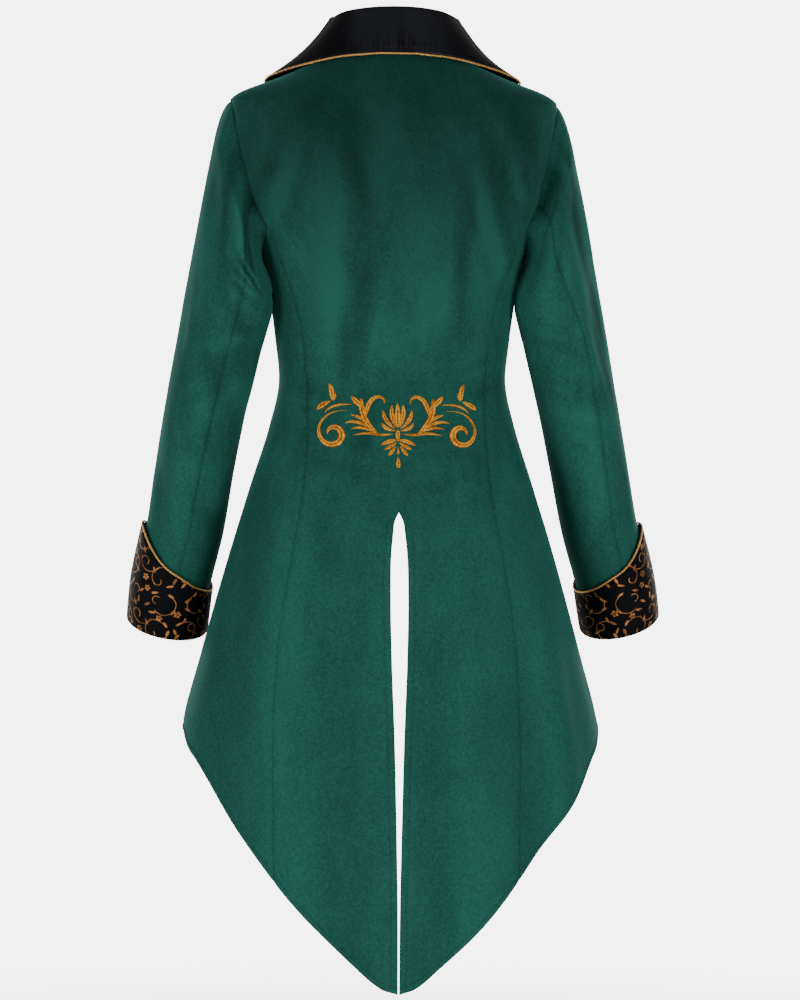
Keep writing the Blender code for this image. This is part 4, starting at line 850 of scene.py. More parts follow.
def collar_half():
    """Outer and inner points of half the collar: rows from centre back, columns from seam to edge."""
    lines, backs = [], []
    fall = np.linspace(0, 1, FALL_ROWS + 1)[1:]

    def section(seam_in, seam_out, fold, up, out, edge, sag):
        """Adds one section: up inside from the seam, over the fold, and down to the edge with some sag."""
        line = [seam_in, (seam_in + fold - out * FOLD_RADIUS) / 2]
        for turn in (180, 135, 90, 45, 0):
            lift = math.sin(math.radians(turn)) * FOLD_RADIUS
            line.append(fold + out * math.cos(math.radians(turn)) * FOLD_RADIUS + up * lift)
        start = line[-1]
        for t in fall:
            line.append(start + (edge - start) * t - UP * sag * math.sin(math.pi * t**0.85))
        lines.append(line)
        backs.append(seam_out)

    for angle in np.linspace(0, 1, NECK_COLUMNS + 1) * float(back_edge(0.0)):
        fold_out, fold_z, edge_angle, edge_height, sag = curve_through(COLLAR_BACK, angle)
        turn = math.radians(angle)
        out = np.array([math.sin(turn), math.cos(turn), 0.0])
        seam_in = body(angle, 0.0, -CLOTH) + UP * SEAM
        seam_out = body(angle, 0.0, 0.0) + UP * SEAM
        fold = out * fold_out + UP * fold_z
        edge = body(edge_angle, edge_height, COLLAR_LIFT)
        section(seam_in, seam_out, fold, unit(fold - seam_in), out, edge, sag)

    rows = (FRONT_TOP,) + SHOULDER_ROWS[::-1] + ARM_ROWS[::-1] + CHEST_ROWS[::-1] + (BREAK,)
    roll_rows = np.array(rows)
    roll_angle = front_inner_edge(roll_rows)
    roll = body(roll_angle, roll_rows, np.zeros(roll_rows.shape))
    down = run_lengths(roll[None], 1)[0]
    down = down / down[-1]
    for i, (angle, height) in enumerate(zip(roll_angle, roll_rows)):
        stand, edge_x, edge_z = curve_through(LAPELS, down[i])
        normal = body_normal(angle, height)
        tangent = unit(roll[min(i + 1, len(roll) - 1)] - roll[max(i - 1, 0)])
        across = unit(np.cross(tangent, normal))
        across = across if across[0] < 0 else -across
        blend = max(1 - down[i] / STAND_SHARE, 0.0)
        up = unit(across * (1 - blend) + unit(np.array(STAND_UP)) * blend)
        out = unit(normal * (1 - blend) + np.array(STAND_OUT) * blend)
        out = unit(out - up * (out @ up))
        seam_in = roll[i] - normal * CLOTH + across * SEAM
        seam_out = roll[i] + across * SEAM
        fold = (seam_in + seam_out) / 2 + up * stand + out * STAND_LEAN
        edge = body(*place_of(edge_x, edge_z, front=True), COLLAR_LIFT)
        section(seam_in, seam_out, fold, up, out, edge, SIDE_SAG * blend)
    outer = np.array(lines)
    outer[:, -FALL_ROWS:] = kept_off_body(outer[:, -FALL_ROWS:], COLLAR_LIFT)
    across, along = np.gradient(outer, axis=1), np.gradient(outer, axis=0)
    along[0] = np.array([1.0, 0, 0])
    inner = outer - unit(np.cross(across, along)) * CLOTH
    inner[:, 0] = np.array(backs)
    return outer, inner


def collar_sheet():
    """The whole collar, with the small puckers that its stitched edge draws in at the back of the neck."""
    halves = [np.concatenate([(half * (-1, 1, 1))[:0:-1], half]) for half in collar_half()]
    outer, inner = (refined(half, (6, 5)) for half in halves)
    away = unit(outer - inner)
    across = run_lengths(outer, 1)
    edge = across[:, -1:] - across
    along = run_lengths(outer[:, -1:], 0)
    along = along - along[len(along) // 2]
    # The puckers come at an uneven pitch, and fade away from their stitches and towards the shoulders.
    waves = np.sin(along / PUCKER_PITCH * 2 * math.pi + 1.3 * np.sin(along / 0.017))
    waves = waves + 0.5 * np.sin(along / 0.0023)
    near = np.exp(-(((edge - PUCKER_IN) / np.where(edge > PUCKER_IN, *PUCKER_FADE)) ** 2))
    puckers = waves * near * np.exp(-((along / PUCKER_REACH) ** 2))
    push = PUCKER_DEPTH * puckers
    push = push - 0.0005 * np.exp(-(((edge - PUCKER_IN) / 0.0012) ** 2))  # its stitches draw the satin in
    soft = 0.0007 * np.sin(along / 0.031 + 0.8) * np.sin(edge / 0.019)  # and the rest lies a little unevenly
    push = push + soft * np.clip(edge / 0.01, 0, 1) * np.clip(across / 0.03, 0, 1)
    outer, inner = (half + away * push[..., None] for half in (outer, inner))
    # The puckers also go to the satin as its painted highlights and shade.
    return Sheet(outer, inner, np.stack([along + 0 * across, across], axis=-1), puckers)


def grid_quads(rows, columns, start):
    """Corners of a grid's quads, with its points numbered row by row from start."""
    index = np.arange(rows * columns).reshape(rows, columns) + start
    corners = (index[:-1, :-1], index[:-1, 1:], index[1:, 1:], index[1:, :-1])
    return np.stack(corners, axis=-1).reshape(-1, 4)


def smooth_mesh(name, points, faces, uv_name, uv, *materials):
    """A smooth mesh of these points and faces, with a UV for each corner of each face."""
    mesh = bpy.data.meshes.new(name)
    mesh.from_pydata(points.tolist(), [], faces)
    for item in materials:
        mesh.materials.append(item)
    mesh.polygons.foreach_set("use_smooth", np.ones(len(faces), bool))
    layer = mesh.uv_layers.new(name=uv_name)
    layer.data.foreach_set("uv", np.array(uv).astype(np.float32).ravel())
    return mesh


def cloth(name, sheets, face, back_face):
    """A thin closed shell from sheets: face outside and round the rim, back_face inside."""
    outer, inner, uv = (np.concatenate([s[i].reshape(-1, s[i].shape[-1]) for s in sheets]) for i in range(3))
    lie = np.concatenate([s.lie.ravel() for s in sheets])
    quads, start = [], 0
    for sheet in sheets:
        quads.append(grid_quads(*sheet.lie.shape, start))
        start += sheet.lie.size
    quads = np.concatenate(quads)
    _, first, merged = np.unique(np.round(outer, 6), axis=0, return_index=True, return_inverse=True)
    outer, inner, uv, lie = outer[first], inner[first], uv[first], lie[first]
    quads = merged.reshape(-1)[quads]
    faces = []
    for quad in quads.tolist():
        kept = [p for i, p in enumerate(quad) if p != quad[i - 1]]
        if len(kept) > 2:
            faces.append(kept)
    a, b, c = (outer[np.array([f[i] for f in faces])] for i in range(3))
    thick = (outer - inner)[np.array([f[0] for f in faces])]
    turned = (np.cross(b - a, c - a) * thick).sum(axis=1) < 0
    faces = [f[::-1] if flip else f for f, flip in zip(faces, turned)]
    ends = {}
    for corners in faces:
        for i, end in enumerate(corners):
            pair = (corners[i - 1], end)
            ends.setdefault((min(pair), max(pair)), []).append(pair)
    rim = [pairs[0] for pairs in ends.values() if len(pairs) == 1]
    count = len(outer)
    everything = faces + [[count + p for p in f[::-1]] for f in faces]
    everything += [[q, p, count + p, count + q] for p, q in rim]
    uv = np.concatenate([uv, uv])[[p for corners in everything for p in corners]]
    mesh = smooth_mesh(name, np.concatenate([outer, inner]), everything, "Cloth", uv, face, back_face)
    slots = np.zeros(len(everything), np.int32)
    slots[len(faces) : 2 * len(faces)] = 1
    mesh.polygons.foreach_set("material_index", slots)
    # the painted light and shade, kept for the materials
    attribute = mesh.attributes.new(PAINTED_LIGHT_AND_SHADE, "FLOAT", "POINT")
    attribute.data.foreach_set("value", np.concatenate([lie, lie]).astype(np.float32))
    mesh.update()
    return linked(name, mesh)


def linked(name, data):
    item = bpy.data.objects.new(name, data)
    bpy.context.scene.collection.objects.link(item)
    return item


def rounded(name, line, away, radius, closed, material, sides=14):
    """A round cord along a line, its sections turned to these directions; UV in metres along and round."""
    along = np.roll(line, -1, 0) - np.roll(line, 1, 0) if closed else np.gradient(line, axis=0)
    along = unit(along)
    away = unit(away - along * (away * along).sum(axis=1, keepdims=True))
    aside = np.cross(along, away)
    turn = np.linspace(0, 2 * math.pi, sides, endpoint=False)
    round_it = np.cos(turn)[None, :, None] * away[:, None] + np.sin(turn)[None, :, None] * aside[:, None]
    points = line[:, None] + round_it * radius
    count = len(line)
    down = run_lengths(line[None], 1)[0]
    down = np.append(down, down[-1] + down[1])
    corners = []
    for i in range(count if closed else count - 1):
        corners += [((i, j), (i, j + 1), (i + 1, j + 1), (i + 1, j)) for j in range(sides)]
    if not closed:
        ends = [[(i, j or sides) for j in range(sides)] for i in (0, count - 1)]
        corners += [ends[0][::-1], ends[1]]
    faces = [[i % count * sides + j % sides for i, j in face] for face in corners]
    uv = [(down[i], j / sides * 2 * math.pi * radius) for face in corners for i, j in face]
    mesh = smooth_mesh(name, points.reshape(-1, 3), faces, "Cord", uv, material)
    work = bmesh.new()
    work.from_mesh(mesh)
    bmesh.ops.recalc_face_normals(work, faces=work.faces)
    work.to_mesh(mesh)
    work.free()
    return linked(name, mesh)


def edge_line(outer, inner, further_in):
    """Centre line of a cord laid along a sheet's edge, and the direction away from the cloth's face."""
    middle = (outer + inner) / 2
    away, along = middle - further_in, unit(np.gradient(middle, axis=0))
    away = unit(away - along * (away * along).sum(axis=1, keepdims=True))
    return middle + away * (PIPING_RADIUS + SEAM), outer - inner


# The embroidery: strokes of one half, in millimetres from its middle, to the side and up. A stroke starts
# at a point with a heading (0 to the side, 90 up), turns as it goes, more at its end as lean grows, and
# swells to its width; head places its widest part along it.
Stroke = namedtuple("Stroke", "x y heading length turn lean width head")
STROKES = rows_of(Stroke, (
    # The long stem, and the plume that stands on it and curls in over the bud.
    (4.0, -13.0, 350, 26, 20, 0.2, 3.0, 0.60), (17.0, -14.6, 12, 34, -30, 0.3, 3.6, 0.35),
    (20.0, -15.0, 32, 50, 62, 0.0, 7.4, 0.52), (35.6, 8.0, 94, 40, 205, 0.75, 6.0, 0.34),
    (34.5, 2.0, 66, 26, 26, 0.2, 4.4, 0.50),
    # Leaflets that fan out from the plume.
    (28.0, -10.5, 26, 26, -50, 0.4, 3.8, 0.45), (31.0, -6.5, 34, 31, -60, 0.4, 4.2, 0.45),
    (33.0, -2.0, 42, 23, -34, 0.3, 4.2, 0.50),
    # The great scroll and its volute.
    (34.0, 1.5, 44, 138, -500, 0.64, 8.2, 0.80),
    # The tendril above it with its leaf, and the sprig at the end.
    (38.5, 16.0, 40, 20, 12, 0.2, 7.0, 0.55), (50.0, 20.0, 8, 36, -66, 0.5, 3.0, 0.55),
    (74.0, 25.5, 92, 20, -26, 0.2, 7.0, 0.50), (73.0, 25.0, 120, 10, -40, 0.2, 3.8, 0.50),
    (75.0, 24.5, 340, 19, -26, 0.2, 6.8, 0.58),
    # Centre: an upright bud with petals, standing on a calyx, with drops under it.
    (0.0, -6.0, 90, 28, 0, 0.0, 8.2, 0.42), (1.6, -6.0, 62, 27, 44, 0.3, 6.2, 0.55),
    (2.4, -7.5, 30, 27, 66, 0.3, 5.6, 0.58), (2.0, -9.5, 2, 20, 84, 0.6, 4.8, 0.60),
    (0.0, -8.0, 270, 14, 0, 0.0, 6.2, 0.45), (1.0, -20.0, 352, 20, -26, 0.3, 5.4, 0.50),
    (1.0, -22.5, 322, 17, 18, 0.3, 4.6, 0.55), (1.8, -26.0, 302, 15, 12, 0.2, 5.0, 0.66),
    (0.0, -28.0, 270, 9, 0, 0.0, 3.2, 0.60), (0.0, -38.0, 270, 14, 0, 0.0, 6.2, 0.68),
))
MOTIF_TOP = -0.4290  # height of the middle of the embroidery
STROKE_COLUMNS, STROKE_STEP, STROKE_RISE, STROKE_SINK = 8, 1.8, 0.0014, 0.0002
CREASED_FROM = 3.9  # strokes wider than this, in millimetres, have a crease down their middle
# The part of the back that the embroidery is laid on: how far it reaches, and its columns and rows.
MAP_WIDTH, MAP_LOW, MAP_TALL, MAP_COLUMNS, MAP_ROWS = 0.100, -0.500, 0.130, 50, 65


def back_map():
    """Lookup of the back's face and normals, by how far across and how high a point is seen."""
    across = np.linspace(0, MAP_WIDTH, MAP_COLUMNS + 1)
    levels = np.linspace(MAP_LOW, MAP_LOW + MAP_TALL, MAP_ROWS + 1)
    angle, height = place_of(*np.meshgrid(across, levels))
    fields = {side: (body_face(angle * side, height), body_normal(angle * side, height)) for side in (1, -1)}

    def look(px, pz, side):
        """Points and normals of the face, between those of the map."""
        i = np.clip(np.abs(px) / MAP_WIDTH * MAP_COLUMNS, 0, MAP_COLUMNS - 0.001)
        j = np.clip((pz - MAP_LOW) / MAP_TALL * MAP_ROWS, 0, MAP_ROWS - 0.001)
        i0, j0 = i.astype(int), j.astype(int)
        u, v = (i - i0)[..., None], (j - j0)[..., None]
        found = []
        for field in fields[side]:
            low = field[j0, i0] * (1 - u) + field[j0, i0 + 1] * u
            high = field[j0 + 1, i0] * (1 - u) + field[j0 + 1, i0 + 1] * u
            found.append(low * (1 - v) + high * v)
        return found

    return look


def stroke_grid(stroke):
    """Points of one stroke seen flat, in metres, with its share of the full rise and its thread's UV."""
    part = np.linspace(0, 1, 10 + int(stroke.length / STROKE_STEP))
    turned = (1 - stroke.lean) * part + stroke.lean * part**3
    heading = np.radians(stroke.heading + stroke.turn * turned)
    step = stroke.length / (len(part) - 1)
    ways = np.stack([np.cos(heading), np.sin(heading)])
    x, y = np.hstack([np.zeros((2, 1)), np.cumsum((ways[:, 1:] + ways[:, :-1]) / 2, axis=1)]) * step
    bulge = math.log(0.5) / math.log(stroke.head)
    shape = np.sin(math.pi * np.clip(part, 0.004, 0.996) ** bulge) ** 0.72
    half = stroke.width / 2 * shape
    across = np.linspace(-1, 1, STROKE_COLUMNS + 1)
    px = (stroke.x + x)[:, None] - ways[1][:, None] * half[:, None] * across
    py = (stroke.y + y)[:, None] + ways[0][:, None] * half[:, None] * across
    crease = 0.42 * np.exp(-((across / 0.16) ** 2)) * (stroke.width > CREASED_FROM)
    dome = np.sqrt(np.clip(1 - across**2, 0, 1)) - crease
    rise = dome * np.minimum(half / 1.4, 1.0)[:, None]
    uv = np.stack(np.broadcast_arrays((part * stroke.length)[:, None] / 1000, across), -1)
    return px / 1000, py / 1000, rise, uv


def embroidery(name, material):
    """All strokes on both sides of the back, each a low dome of thread."""
    look = back_map()
    points, faces, uvs, start = [], [], [], 0
    for side in (1, -1):
        for stroke in STROKES:
            if side < 0 and stroke.x == 0:
                continue
            x, y, rise, uv = stroke_grid(stroke)
            face, normal = look(x, y + MOTIF_TOP, side)
            if stroke.x == 0:
                mirror, turned = look(x, y + MOTIF_TOP, -1)
                face = np.where((x < 0)[..., None], mirror, face)
                normal = np.where((x < 0)[..., None], turned, normal)
            lift = (rise * STROKE_RISE - STROKE_SINK)[..., None]
            points.append((face + normal * lift).reshape(-1, 3))
            uvs.append(uv.reshape(-1, 2))
            facing = np.cross(face[1, 1] - face[0, 1], face[1, 2] - face[1, 1]) @ normal[1, 1]
            faces.append(grid_quads(*rise.shape, start)[:, :: (-1 if facing > 0 else 1)])
            start += rise.size
    points, faces, uvs = np.concatenate(points), np.concatenate(faces), np.concatenate(uvs)
    return linked(name, smooth_mesh(name, points, faces.tolist(), "Thread", uvs[faces.ravel()], material))


def stitch_nodes(material, sizes):
    """Geometry Nodes that lay short stitches along a curve, and the names of its inputs for the sizes."""
    tree = bpy.data.node_groups.new("Stitches", "GeometryNodeTree")
    tree.interface.new_socket("Geometry", in_out="INPUT", socket_type="NodeSocketGeometry")
    names = {}
    for label, value in sizes.items():
        socket = tree.interface.new_socket(label, in_out="INPUT", socket_type="NodeSocketFloat")
        socket.default_value = value
        names[label] = socket.identifier
    tree.interface.new_socket("Geometry", in_out="OUTPUT", socket_type="NodeSocketGeometry")
    kinds = ("NodeGroupInput", "NodeGroupOutput", "GeometryNodeResampleCurve", "GeometryNodeCurveToPoints")
    given, made, resample, points = (tree.nodes.new(kind) for kind in kinds)
    kinds = ("MeshUVSphere", "InstanceOnPoints", "RealizeInstances", "SetMaterial")
    thread, place, real, paint = (tree.nodes.new("GeometryNode" + kind) for kind in kinds)
    size = tree.nodes.new("ShaderNodeCombineXYZ")
    resample.mode, points.mode = "LENGTH", "EVALUATED"
    for label, value in (("Segments", 6), ("Rings", 5), ("Radius", 0.5)):
        thread.inputs[label].default_value = value
    paint.inputs["Material"].default_value = material
    for source, output, target, entry in (
        (given, "Geometry", resample, "Curve"),
        (given, "Pitch", resample, "Length"),
        (resample, "Curve", points, "Curve"),
        (given, "Thread thickness", size, "X"),
        (given, "Thread thickness", size, "Y"),
        (given, "Stitch length", size, "Z"),
        (points, "Points", place, "Points"),
        (points, "Rotation", place, "Rotation"),
        (thread, "Mesh", place, "Instance"),
        (size, "Vector", place, "Scale"),
        (place, "Instances", real, "Geometry"),
        (real, "Geometry", paint, "Geometry"),
        (paint, "Geometry", made, "Geometry"),
    ):
        tree.links.new(source.outputs[output], target.inputs[entry])
    return tree, names


def stitched(name, lines, material, sizes):
    """A row of stitches along each line, as one plain mesh; sizes by their names, in metres."""
    curve = bpy.data.curves.new(name + "_lines", "CURVE")
    curve.dimensions = "3D"
    for line in lines:
        spline = curve.splines.new("POLY")
        spline.points.add(len(line) - 1)
        spline.points.foreach_set("co", np.hstack([line, np.ones((len(line), 1))]).astype(np.float32).ravel())
    guide = linked(name + "_guide", curve)
    tree, names = stitch_nodes(material, sizes)
    modifier = guide.modifiers.new("Stitches", "NODES")
    modifier.node_group = tree
    for label, value in sizes.items():
        modifier[names[label]] = value
    graph = bpy.context.evaluated_depsgraph_get()
    mesh = bpy.data.meshes.new_from_object(guide.evaluated_get(graph), depsgraph=graph)
    mesh.name = name
    if not mesh.polygons or not mesh.materials:
        raise RuntimeError("the stitch nodes made no stitches")
    mesh.polygons.foreach_set("use_smooth", np.ones(len(mesh.polygons), bool))
    bpy.data.objects.remove(guide)
    bpy.data.curves.remove(curve)
    bpy.data.node_groups.remove(tree)
    return linked(name, mesh)


def inset_line(sheet, border, distance, lift=0.0002):
    """A line on a sheet's face, this far in from its left, right or bottom, left out where it is narrow."""
    grid, inner = sheet.outer, sheet.inner
    if border == "bottom":
        grid, inner = np.swapaxes(grid, 0, 1), np.swapaxes(inner, 0, 1)
    elif border == "right":
        grid, inner = grid[:, ::-1], inner[:, ::-1]
    far = run_lengths(grid, 1)
    line = []
    for row, under, down in zip(grid, inner, far):
        if down[-1] < distance * 1.5:  # too narrow for a stitch line of its own
            continue
        at = np.searchsorted(down, distance)
        t = (distance - down[at - 1]) / (down[at] - down[at - 1])
        normal = unit(row[at] - under[at])
        line.append(row[at - 1] * (1 - t) + row[at] * t + normal * lift)
    return np.array(line)


class Value:
    """A number inside a material: arithmetic on it adds Math nodes."""

    def __init__(self, paint, socket):
        self.paint, self.socket = paint, socket

    def sum_of(self, operation, *others):
        node = self.paint.node("ShaderNodeMath", {"operation": operation})
        for i, other in enumerate((self, *others)):
            self.paint.join(other, node.inputs[i])
        return Value(self.paint, node.outputs[0])

    def __add__(self, other):
        return self.sum_of("ADD", other)

    def __sub__(self, other):
        return self.sum_of("SUBTRACT", other)

    def __mul__(self, other):
        return self.sum_of("MULTIPLY", other)

    def __rsub__(self, other):
        return self * -1 + other

    __radd__ = __add__

    def __abs__(self):
        return self.sum_of("ABSOLUTE")

    def wave(self, length):
        """A wave of this length, from -1 to 1."""
        return (self * (2 * math.pi / length)).sum_of("SINE")

    def root(self):
        return self.sum_of("SQRT")

    def least(self, other):
        return self.sum_of("MINIMUM", other)

    def most(self, other):
        return self.sum_of("MAXIMUM", other)

    def wrapped(self, low, high):
        return self.sum_of("WRAP", high, low)

    def ramp(self, start, end):
        """0 before start, 1 after end, smooth between them."""
        node = self.paint.node("ShaderNodeMapRange", {"interpolation_type": "SMOOTHSTEP"})
        self.paint.join(self, node.inputs["Value"])
        node.inputs["From Min"].default_value = start
        node.inputs["From Max"].default_value = end
        return Value(self.paint, node.outputs["Result"])


class Paint:
    """One material's node tree, built by short calls."""

    def __init__(self, name):
        self.material = bpy.data.materials.new(name)
        self.material.use_nodes = True
        self.tree = self.material.node_tree
        self.shader = self.tree.nodes["Principled BSDF"]

    def node(self, kind, settings=None, inputs=None):
        """A new node with these settings, and with values or links for its inputs."""
        node = self.tree.nodes.new(kind)
        for key, value in (settings or {}).items():
            setattr(node, key, value)
        for key, value in (inputs or {}).items():
            self.join(value, node.inputs[key])
        return node

    def join(self, value, socket):
        if isinstance(value, Value):
            value = value.socket
        if isinstance(value, bpy.types.NodeSocket):
            self.tree.links.new(value, socket)
        else:
            socket.default_value = value

    def axes(self, source):
        """Object or UV coordinates as three numbers, in metres."""
        found = self.node("ShaderNodeTexCoord").outputs[source]
        split = self.node("ShaderNodeSeparateXYZ", inputs={"Vector": found})
        return [Value(self, split.outputs[i]) for i in range(3)]

    def attribute(self, name):
        return Value(self, self.node("ShaderNodeAttribute", {"attribute_name": name}).outputs["Fac"])

    def vector(self, x, y, z=0.0):
        return self.node("ShaderNodeCombineXYZ", inputs={"X": x, "Y": y, "Z": z}).outputs[0]

    def noise(self, size, detail=2.0, roughness=0.5, vector=None, source="Object"):
        """Soft noise whose blotches are about this many metres across."""
        vector = vector or self.node("ShaderNodeTexCoord").outputs[source]
        inputs = {"Vector": vector, "Scale": 0.5 / size, "Detail": detail, "Roughness": roughness}
        return Value(self, self.node("ShaderNodeTexNoise", inputs=inputs).outputs["Fac"])

    def mixed(self, factor, *colours):
        """A mix of two colours, each plain or already mixed."""
        node = self.node("ShaderNodeMix", {"data_type": "RGBA"}, {"Factor": factor})
        for colour, socket in zip(colours, node.inputs[6:8]):
            mixed = isinstance(colour, bpy.types.NodeSocket)
            self.join(colour if mixed else (*colour, 1), socket)
        return node.outputs[2]

    def finished(self, colour, height=None, depth=0.0002, strength=1.0, linked_inputs=None, **constants):
        """Joins what varies to the shader and sets what doesn't; height is a bump in shares of its depth."""
        self.join(colour, self.shader.inputs["Base Color"])
        if height is not None:
            inputs = {"Strength": strength, "Distance": depth, "Height": height}
            bump = self.node("ShaderNodeBump", inputs=inputs)
            self.join(bump.outputs["Normal"], self.shader.inputs["Normal"])
        for key, value in (linked_inputs or {}).items():
            self.join(value, self.shader.inputs[key])
        for key, value in constants.items():
            self.shader.inputs[key.replace("_", " ")].default_value = value
        return self.material


def darker(colour, *shares):
    """A colour with its channels at these shares, or all at one."""
    return tuple(channel * share for channel, share in zip(colour, shares * (4 - len(shares))))


def velvet(settings):
    """Dense short pile: deep seen straight on, paler at a slant, with soft marks where the pile leans,
    painted light and shade on its folds, seams and in broad bands, and painted shade towards the top of the
    back.
    """
    paint = Paint("green_velvet")
    x, y, height = paint.axes("Object")
    # The pile leans in wide clouds, and in patches drawn out down the cloth; grain and pile are finer.
    brushed = paint.vector(x, y, height * 0.38)
    lean = paint.noise(0.070, 2.0, 0.55) * 0.24 + paint.noise(0.014, 3.0, 0.65, vector=brushed) * 0.38
    grain = paint.noise(0.0016, 3.0, 0.75)
    # painted light and shade on folds, seams, hems and bands, read from the cloth
    folds = paint.attribute(PAINTED_LIGHT_AND_SHADE)
    calm = 1 - (1 - height.ramp(*CALM_SKIRT)) * 0.55  # the skirt's marks are fainter
    tone = (lean - LEAN_MIDDLE) * calm + LEAN_MIDDLE + grain * 0.55 + folds * calm * settings.fold_shade
    pile = paint.noise(0.0006, 1.0, 0.6)
    # Painted shade: the velvet's colour darkens towards the top of the back, less on the sleeves and under
    # the arms.
    on_body = 1 - abs(x).ramp(*TOP_SHADE_NARROWS) * 0.6
    beside = abs(x).ramp(*TOP_SHADE_BESIDE) * (1 - height.ramp(*TOP_SHADE_UNDER_ARM))
    painted_top_shade = on_body * (1 - beside * 0.9) * (height + (lean - LEAN_MIDDLE) * 0.14).ramp(*TOP_SHADE_HEIGHTS)
    colour = paint.mixed(tone.ramp(0.34, 0.84), settings.velvet_deep, settings.velvet_bright)
    # the deep green of the painted shade, mixed in towards the top of the back
    colour = paint.mixed(painted_top_shade * 0.52, colour, (0.0012, 0.010, 0.0080))
    return paint.finished(
        colour,
        pile + grain * 0.8,
        depth=0.00022,
        strength=0.5,
        linked_inputs={"Roughness": 0.78 + grain * 0.16},
        Sheen_Weight=settings.velvet_sheen,
        Sheen_Roughness=0.36,
        Sheen_Tint=(0.16, 0.72, 0.64, 1),
        Specular_IOR_Level=0.12,
    )


def plain_back(_):
    """The plain back of the cloth, seen only inside the coat: a fine twill."""
    paint = Paint("cloth_reverse")
    across, down, _ = paint.axes("UV")
    twill = (across + down).wave(TWILL_PITCH) * 0.5 + 0.5
    wear = paint.noise(0.03, 3.0)
    colour = paint.mixed(twill * 0.5 + wear * 0.4, (0.008, 0.030, 0.026), (0.016, 0.052, 0.045))
    return paint.finished(colour, twill, depth=0.0001, strength=0.4, Roughness=0.86, Specular_IOR_Level=0.2)


def satin(_):
    """Black satin: fine floats along the collar, a soft sheen that breaks up in small waves, and painted
    highlights in its colour, brightest near the centre line and on the puckers.
    """
    paint = Paint("black_satin")
    along, across, _ = paint.axes("UV")
    # Floats are single threads, drawn out along the collar; waves and clouds are the cloth's own.
    floats = paint.noise(1.0, 2.0, 0.6, vector=paint.vector(along * 300.0, across * 2600.0))
    cloud = paint.noise(0.018, 3.0, 0.6)
    waves = paint.noise(1.0, 3.0, 0.55, vector=paint.vector(along * 60.0, across * 14.0))
    # Painted highlight: the colour is paler in the waves, clouds and floats, near the centre line and on the
    # puckers' ridges.
    sheen = waves * 0.55 + paint.noise(0.045, 2.0) * 0.55 + floats * 0.15
    x, _, _ = paint.axes("Object")
    middle = 1 - abs(x).ramp(0.035, 0.080) * 0.8
    painted_gloss = (sheen + paint.attribute(PAINTED_LIGHT_AND_SHADE) * 0.13).ramp(0.44, 0.72) * middle
    colour = paint.mixed(painted_gloss, (0.0006, 0.0008, 0.0012), (0.0092, 0.0098, 0.0135))
    return paint.finished(
        colour,
        floats * 0.04 + waves,
        depth=0.0022,
        strength=0.5,
        linked_inputs={"Roughness": 0.32 + cloud * 0.12},
        Specular_IOR_Level=0.11,
    )


# The brocade's repeat: arcs of vine, leaves and blossoms, in millimetres of one repeat.
Vine = namedtuple("Vine", "x y radius width cut_angle cut")
VINES = rows_of(Vine, (
    (14.0, 16.0, 11.5, 1.15, 200, 4.0), (20.5, 20.0, 4.6, 1.30, 20, 1.2),
    (41.0, 30.0, 13.5, 1.05, 80, -2.0), (34.0, 26.5, 5.4, 1.20, 250, 1.4),
    (60.0, 14.0, 12.0, 1.10, 310, 3.0), (55.0, 8.0, 4.4, 1.30, 120, 1.2),
    (66.0, 46.0, 12.5, 1.10, 150, 3.4), (58.0, 50.0, 4.6, 1.25, 340, 1.2),
    (24.0, 49.0, 12.0, 1.10, 40, 2.6), (29.0, 55.0, 4.6, 1.30, 220, 1.2),
))
Leaf = namedtuple("Leaf", "x y angle length width")
LEAVES = rows_of(Leaf, (
    (5.0, 8.5, 60, 8.0, 2.9), (2.5, 14.5, 115, 7.5, 2.7), (6.0, 24.5, 35, 7.5, 2.6),
    (11.5, 29.0, 70, 7.0, 2.4), (25.5, 12.5, 330, 7.5, 2.6), (29.5, 38.5, 130, 8.0, 2.8),
    (35.0, 44.5, 95, 7.5, 2.6), (47.5, 42.0, 35, 7.5, 2.6), (54.5, 34.0, 10, 8.0, 2.8),
    (49.0, 20.5, 300, 7.0, 2.4), (69.5, 5.0, 20, 7.5, 2.6), (73.0, 12.0, 75, 8.0, 2.8),
    (70.0, 22.0, 120, 7.0, 2.5), (54.5, 58.0, 200, 7.5, 2.6), (76.5, 38.5, 60, 7.5, 2.6),
    (72.0, 57.5, 330, 7.5, 2.6), (13.0, 42.5, 150, 7.5, 2.6), (12.5, 53.5, 215, 8.0, 2.8),
    (19.5, 60.5, 250, 7.0, 2.4), (38.0, 56.0, 40, 7.5, 2.6),
))
Blossom = namedtuple("Blossom", "x y radius petal")
BLOSSOMS = rows_of(Blossom, (
    (40.0, 9.0, 2.7, 1.35), (3.0, 36.0, 2.7, 1.35), (45.0, 61.0, 2.4, 1.2), (63.0, 29.0, 2.4, 1.2)
))
REPEAT = (78.0, 64.0)
LOBE = 2.3  # length of one lobe of a leaf's edge


